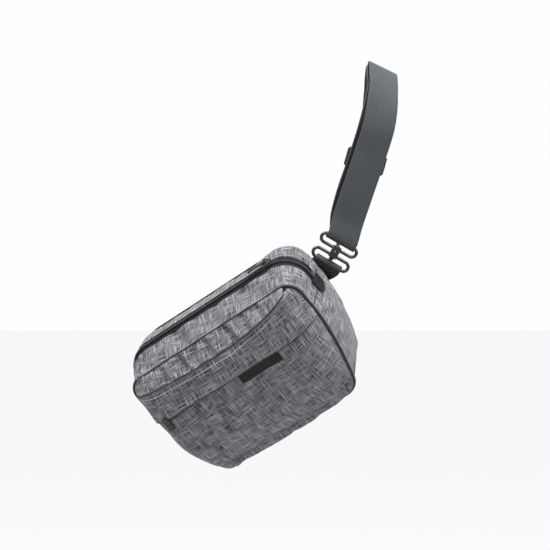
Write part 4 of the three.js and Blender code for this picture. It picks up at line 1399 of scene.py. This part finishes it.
def build_strap():
    down, out, width = chest_axes()

    def on_chest(far, sunk):
        return CHEST_TOP + down * far - out * sunk, width

    right, left = hardware_sets()
    flat = Vector((0, -1, 0))
    right_bar = right["middle"] + right["up"] * STRAP_BAR

    def rise(shift, y):
        return [(Vector((x + shift * min(1, (z - right_bar.z) / SHIFT_ROOM), y, z)), Vector((wx, 0, wz)))
                for x, z, wx, wz in RISE]

    left_bar = left["middle"] + left["up"] * STRAP_BAR
    left_out = left["along"].cross(left["up"]).normalized()

    def left_end(across, far):
        return left_bar + left_out * (across * BAR_TURN) + left["up"] * far, left["along"]

    stations = [on_chest(8, LAYERS), on_chest(0, LAYERS)]
    stations += saddle(-LAYERS, LAYER_SHIFT / 2)[::-1]
    stations += rise(LAYER_SHIFT, RUN_Y + LAYERS / 2)[::-1]
    stations += round_bar(right_bar, right["along"], right["up"], flat)[::-1]
    stations += rise(0, RUN_Y - LAYERS / 2)
    stations += saddle(LAYERS / 2, 0)
    stations += [on_chest(far, 0) for far in (0, 20, 40, 60, 75)]
    stations += [(Vector(item[:3]), Vector(item[3:])) for item in FALL]
    stations.append(left_end(1, 30))
    stations += round_bar(left_bar, left["along"], left["up"], left_out)
    stations.append(left_end(-1, 24))
    # The strap's inner face is near-black webbing: painted shade where it lies in shadow.
    belong(ribbon("strap", stations, WEB_WIDE, WEB_THICK, 9, MATERIALS["webbing"],
                  MATERIALS["shade_black_webbing"]), "bag", "webbing", "strap_webbing")

    middle = CHEST_TOP + down * ADJUST_AT
    near_leg = WEB_THICK + 0.8
    far_leg = 2 * WEB_THICK + 4.6
    bend, turn = 2.2, 5.2
    loop = [(-20, LAYERS), (-12, LAYERS), (-5, near_leg), (bend, near_leg), (turn, near_leg + 1.6),
            (turn, far_leg - 1.6), (bend, far_leg), (-6, far_leg), (-14, far_leg)]
    stations = [(middle + down * far - out * sunk, width) for far, sunk in loop]
    belong(ribbon("strap_loop_end", stations, WEB_WIDE, WEB_THICK, 6, MATERIALS["webbing"]), "adjuster",
           "webbing", "strap_end_loop")
    box_stitch("loop_end_stitching", middle - down * 11 - out * (far_leg + 1.1), width, down, -out, 30, 6,
               "adjuster")
    for name in ("adjuster_frame", "adjuster_bar"):
        soften(name, 0.6, 4, MATERIALS["metal"])


# ---------------------------------------------------------------- padded back and inside
def plate_mesh(name, y, inset, crown, material, rings=14, around_steps=96, bumps=None):
    """A rounded plate of the bag's outline: flat at its rim, crowned towards the back."""
    level = level_at(y)
    centre_z = (level[2] + level[6]) / 2
    spots, weave = [], []
    for ring in range(rings + 1):
        share = 1 - ring / rings * 0.985
        for k in range(around_steps):
            x, z = outline(level, 8 * k / around_steps, inset)
            x, z = x * share, lerp(centre_z, z, share)
            lift = crown * (1 - share ** 6) ** 0.5
            if bumps:
                lift += bumps(z) * smooth((1 - share) * 8)
            spots.append(place(x, y + lift, z))
            weave.append((x * MM, z * MM, 0))
    faces = grid_faces(around_steps, rings + 1, closed=True)
    faces.append(tuple(rings * around_steps + k for k in range(around_steps)))
    return add_mesh(name, spots, faces, weave, material)


CHANNEL_DEEP = 1.6
CHANNEL_HALF = 2.2
CHANNEL_PITCH = 26


def channels(z):
    """Sewn air channels across the back pad."""
    off = abs((z - 20) % CHANNEL_PITCH - CHANNEL_PITCH / 2)
    return -CHANNEL_DEEP * max(0, 1 - off / CHANNEL_HALF)


def build_back():
    panel = plate_mesh("back_fabric", -0.6, 0.6, 1.2, OUTER)
    face_out(panel, BACK_MIDDLE)
    belong(panel, "bag", "outer_fabric", "back_panel")
    pad = plate_mesh("back_pad", 0.4, 15, 4.4, MATERIALS["mesh"], rings=22, around_steps=120, bumps=channels)
    face_out(pad, BACK_MIDDLE)
    belong(pad, "bag", "mesh", "back_mesh_pad")
    rim = around(0.2, 0, 8, 14.2, 200)
    cord("back_pad_binding", rim[:-1], 1.1, closed=True)


def pad_block(name, low, high, node):
    """An upright padded board between two corners: rounded edges, crowned faces and a bound rim."""
    low, high = Vector(low), Vector(high)
    size = high - low
    across, along = 22, 26
    half = size.x / 2
    centre = (low + high) / 2
    spots, weave, faces = [], [], []
    for sign in (-1, 1):
        for j in range(along):
            for i in range(across):
                u, v = i / (across - 1), j / (along - 1)
                a, b = 2 * u - 1, 2 * v - 1
                pull = 1 - 0.015 * (1 - abs(b) ** 2) * abs(a) ** 3
                full = ((1 - a ** 10) * (1 - b ** 12)) ** 0.4
                spot = centre.copy()
                spot.y += a * size.y / 2 * pull
                spot.z += b * size.z / 2
                dent = 0.35 * noise.noise(Vector((a * 3 + half, b * 4, sign * 2.0)))
                spot.x += sign * (0.25 + (half - 0.25 + dent) * full)
                spots.append(place(*spot))
                weave.append((spot.y * MM, spot.z * MM, 0))
        base = 0 if sign < 0 else across * along
        faces += grid_faces(across, along, flip=sign > 0, base=base)
    rim = list(range(across)) + [j * across + across - 1 for j in range(1, along)]
    rim += [(along - 1) * across + i for i in range(across - 2, -1, -1)]
    rim += [j * across for j in range(along - 2, 0, -1)]
    count = across * along
    for k, a in enumerate(rim):
        b = rim[(k + 1) % len(rim)]
        faces.append((b, a, a + count, b + count))
    obj = add_mesh(name, spots, faces, weave, LINING)
    repair(obj)
    belong(obj, node, "foam", node)
    line = [(spots[a] + spots[a + count]) / 2 for a in rim]
    binding = tube(name + "_binding", line, 0.7 * MM, MATERIALS["grey_thread"], sides=8, closed=True)
    belong(binding, node, "foam")


def repair(obj):
    """Makes a closed mesh's faces point outwards."""
    shape = bmesh.new()
    shape.from_mesh(obj.data)
    bmesh.ops.recalc_face_normals(shape, faces=shape.faces)
    shape.to_mesh(obj.data)
    shape.free()


FOAM_THICK = 4.6
FOAM_EDGE = (1.6, 3, 50)  # width, segments and the least turn of a rounded edge
FOAM_SHIFT = 2.5
BOARD_INSET = 14
REAR_BOARD_Y, FRONT_BOARD_Y = -9.4, -71.0
PAD_REAR, PAD_FRONT = -10.2, -65.0
PAD_DROP = 3.9  # from the wall to the curved pads
DIVIDER_X, DIVIDER_HALF = 38, 2.5
DIVIDER_LOW, DIVIDER_HIGH = 18, 140


def finish_foam(obj, node):
    """Softens a foam board's edges and puts it on the bag in place of its CAD node."""
    round_edges(obj, *FOAM_EDGE)
    bake(obj)
    belong(obj, "bag", "foam", node)


def curved_pad(name, first, last, node):
    """Foam under the lining, following the wall."""
    obj = bag_grid(name, wall_point(first, last, PAD_REAR, PAD_FRONT, PAD_DROP), 18, 16, LINING)
    face_out(obj, BAG_MIDDLE)
    thicken(obj, FOAM_THICK, levels=0)
    finish_foam(obj, node)


def flat_pad(name, y, node):
    """An upright foam board with the bag's outline."""
    board = plate_mesh(name, y, BOARD_INSET, 0, LINING, rings=5)
    board.data.flip_normals()
    board.data.transform(Matrix.Translation(BAG_Y * (FOAM_SHIFT * MM)))
    solid = board.modifiers.new("thickness", "SOLIDIFY")
    solid.thickness = FOAM_THICK * MM
    solid.offset = 0
    finish_foam(board, node)


def build_inside():
    finish_node("inner_front_wall", LINING)
    for node, y in (("rear_foam", REAR_BOARD_Y), ("front_foam", FRONT_BOARD_Y)):
        flat_pad(node + "_board", y, node)
    curved_pad("floor_pad", 3.4, 4.6, "floor_foam")
    curved_pad("right_end_pad", 1.75, 2.6, "right_end_foam")
    curved_pad("left_end_pad", -1.75, -2.6, "left_end_foam")
    for side, sign in (("right", 1), ("left", -1)):
        x = sign * DIVIDER_X
        low = (x - DIVIDER_HALF, PAD_FRONT, DIVIDER_LOW)
        high = (x + DIVIDER_HALF, PAD_REAR, DIVIDER_HIGH)
        pad_block(side + "_divider_pad", low, high, side + "_divider")


# ---------------------------------------------------------------- the whole bag
build_walls()
build_pocket()
finish_panels()
build_seams()
build_stitching()
build_label()
build_main_zip()
build_sliders()
build_hardware()
build_strap()
build_back()
build_inside()
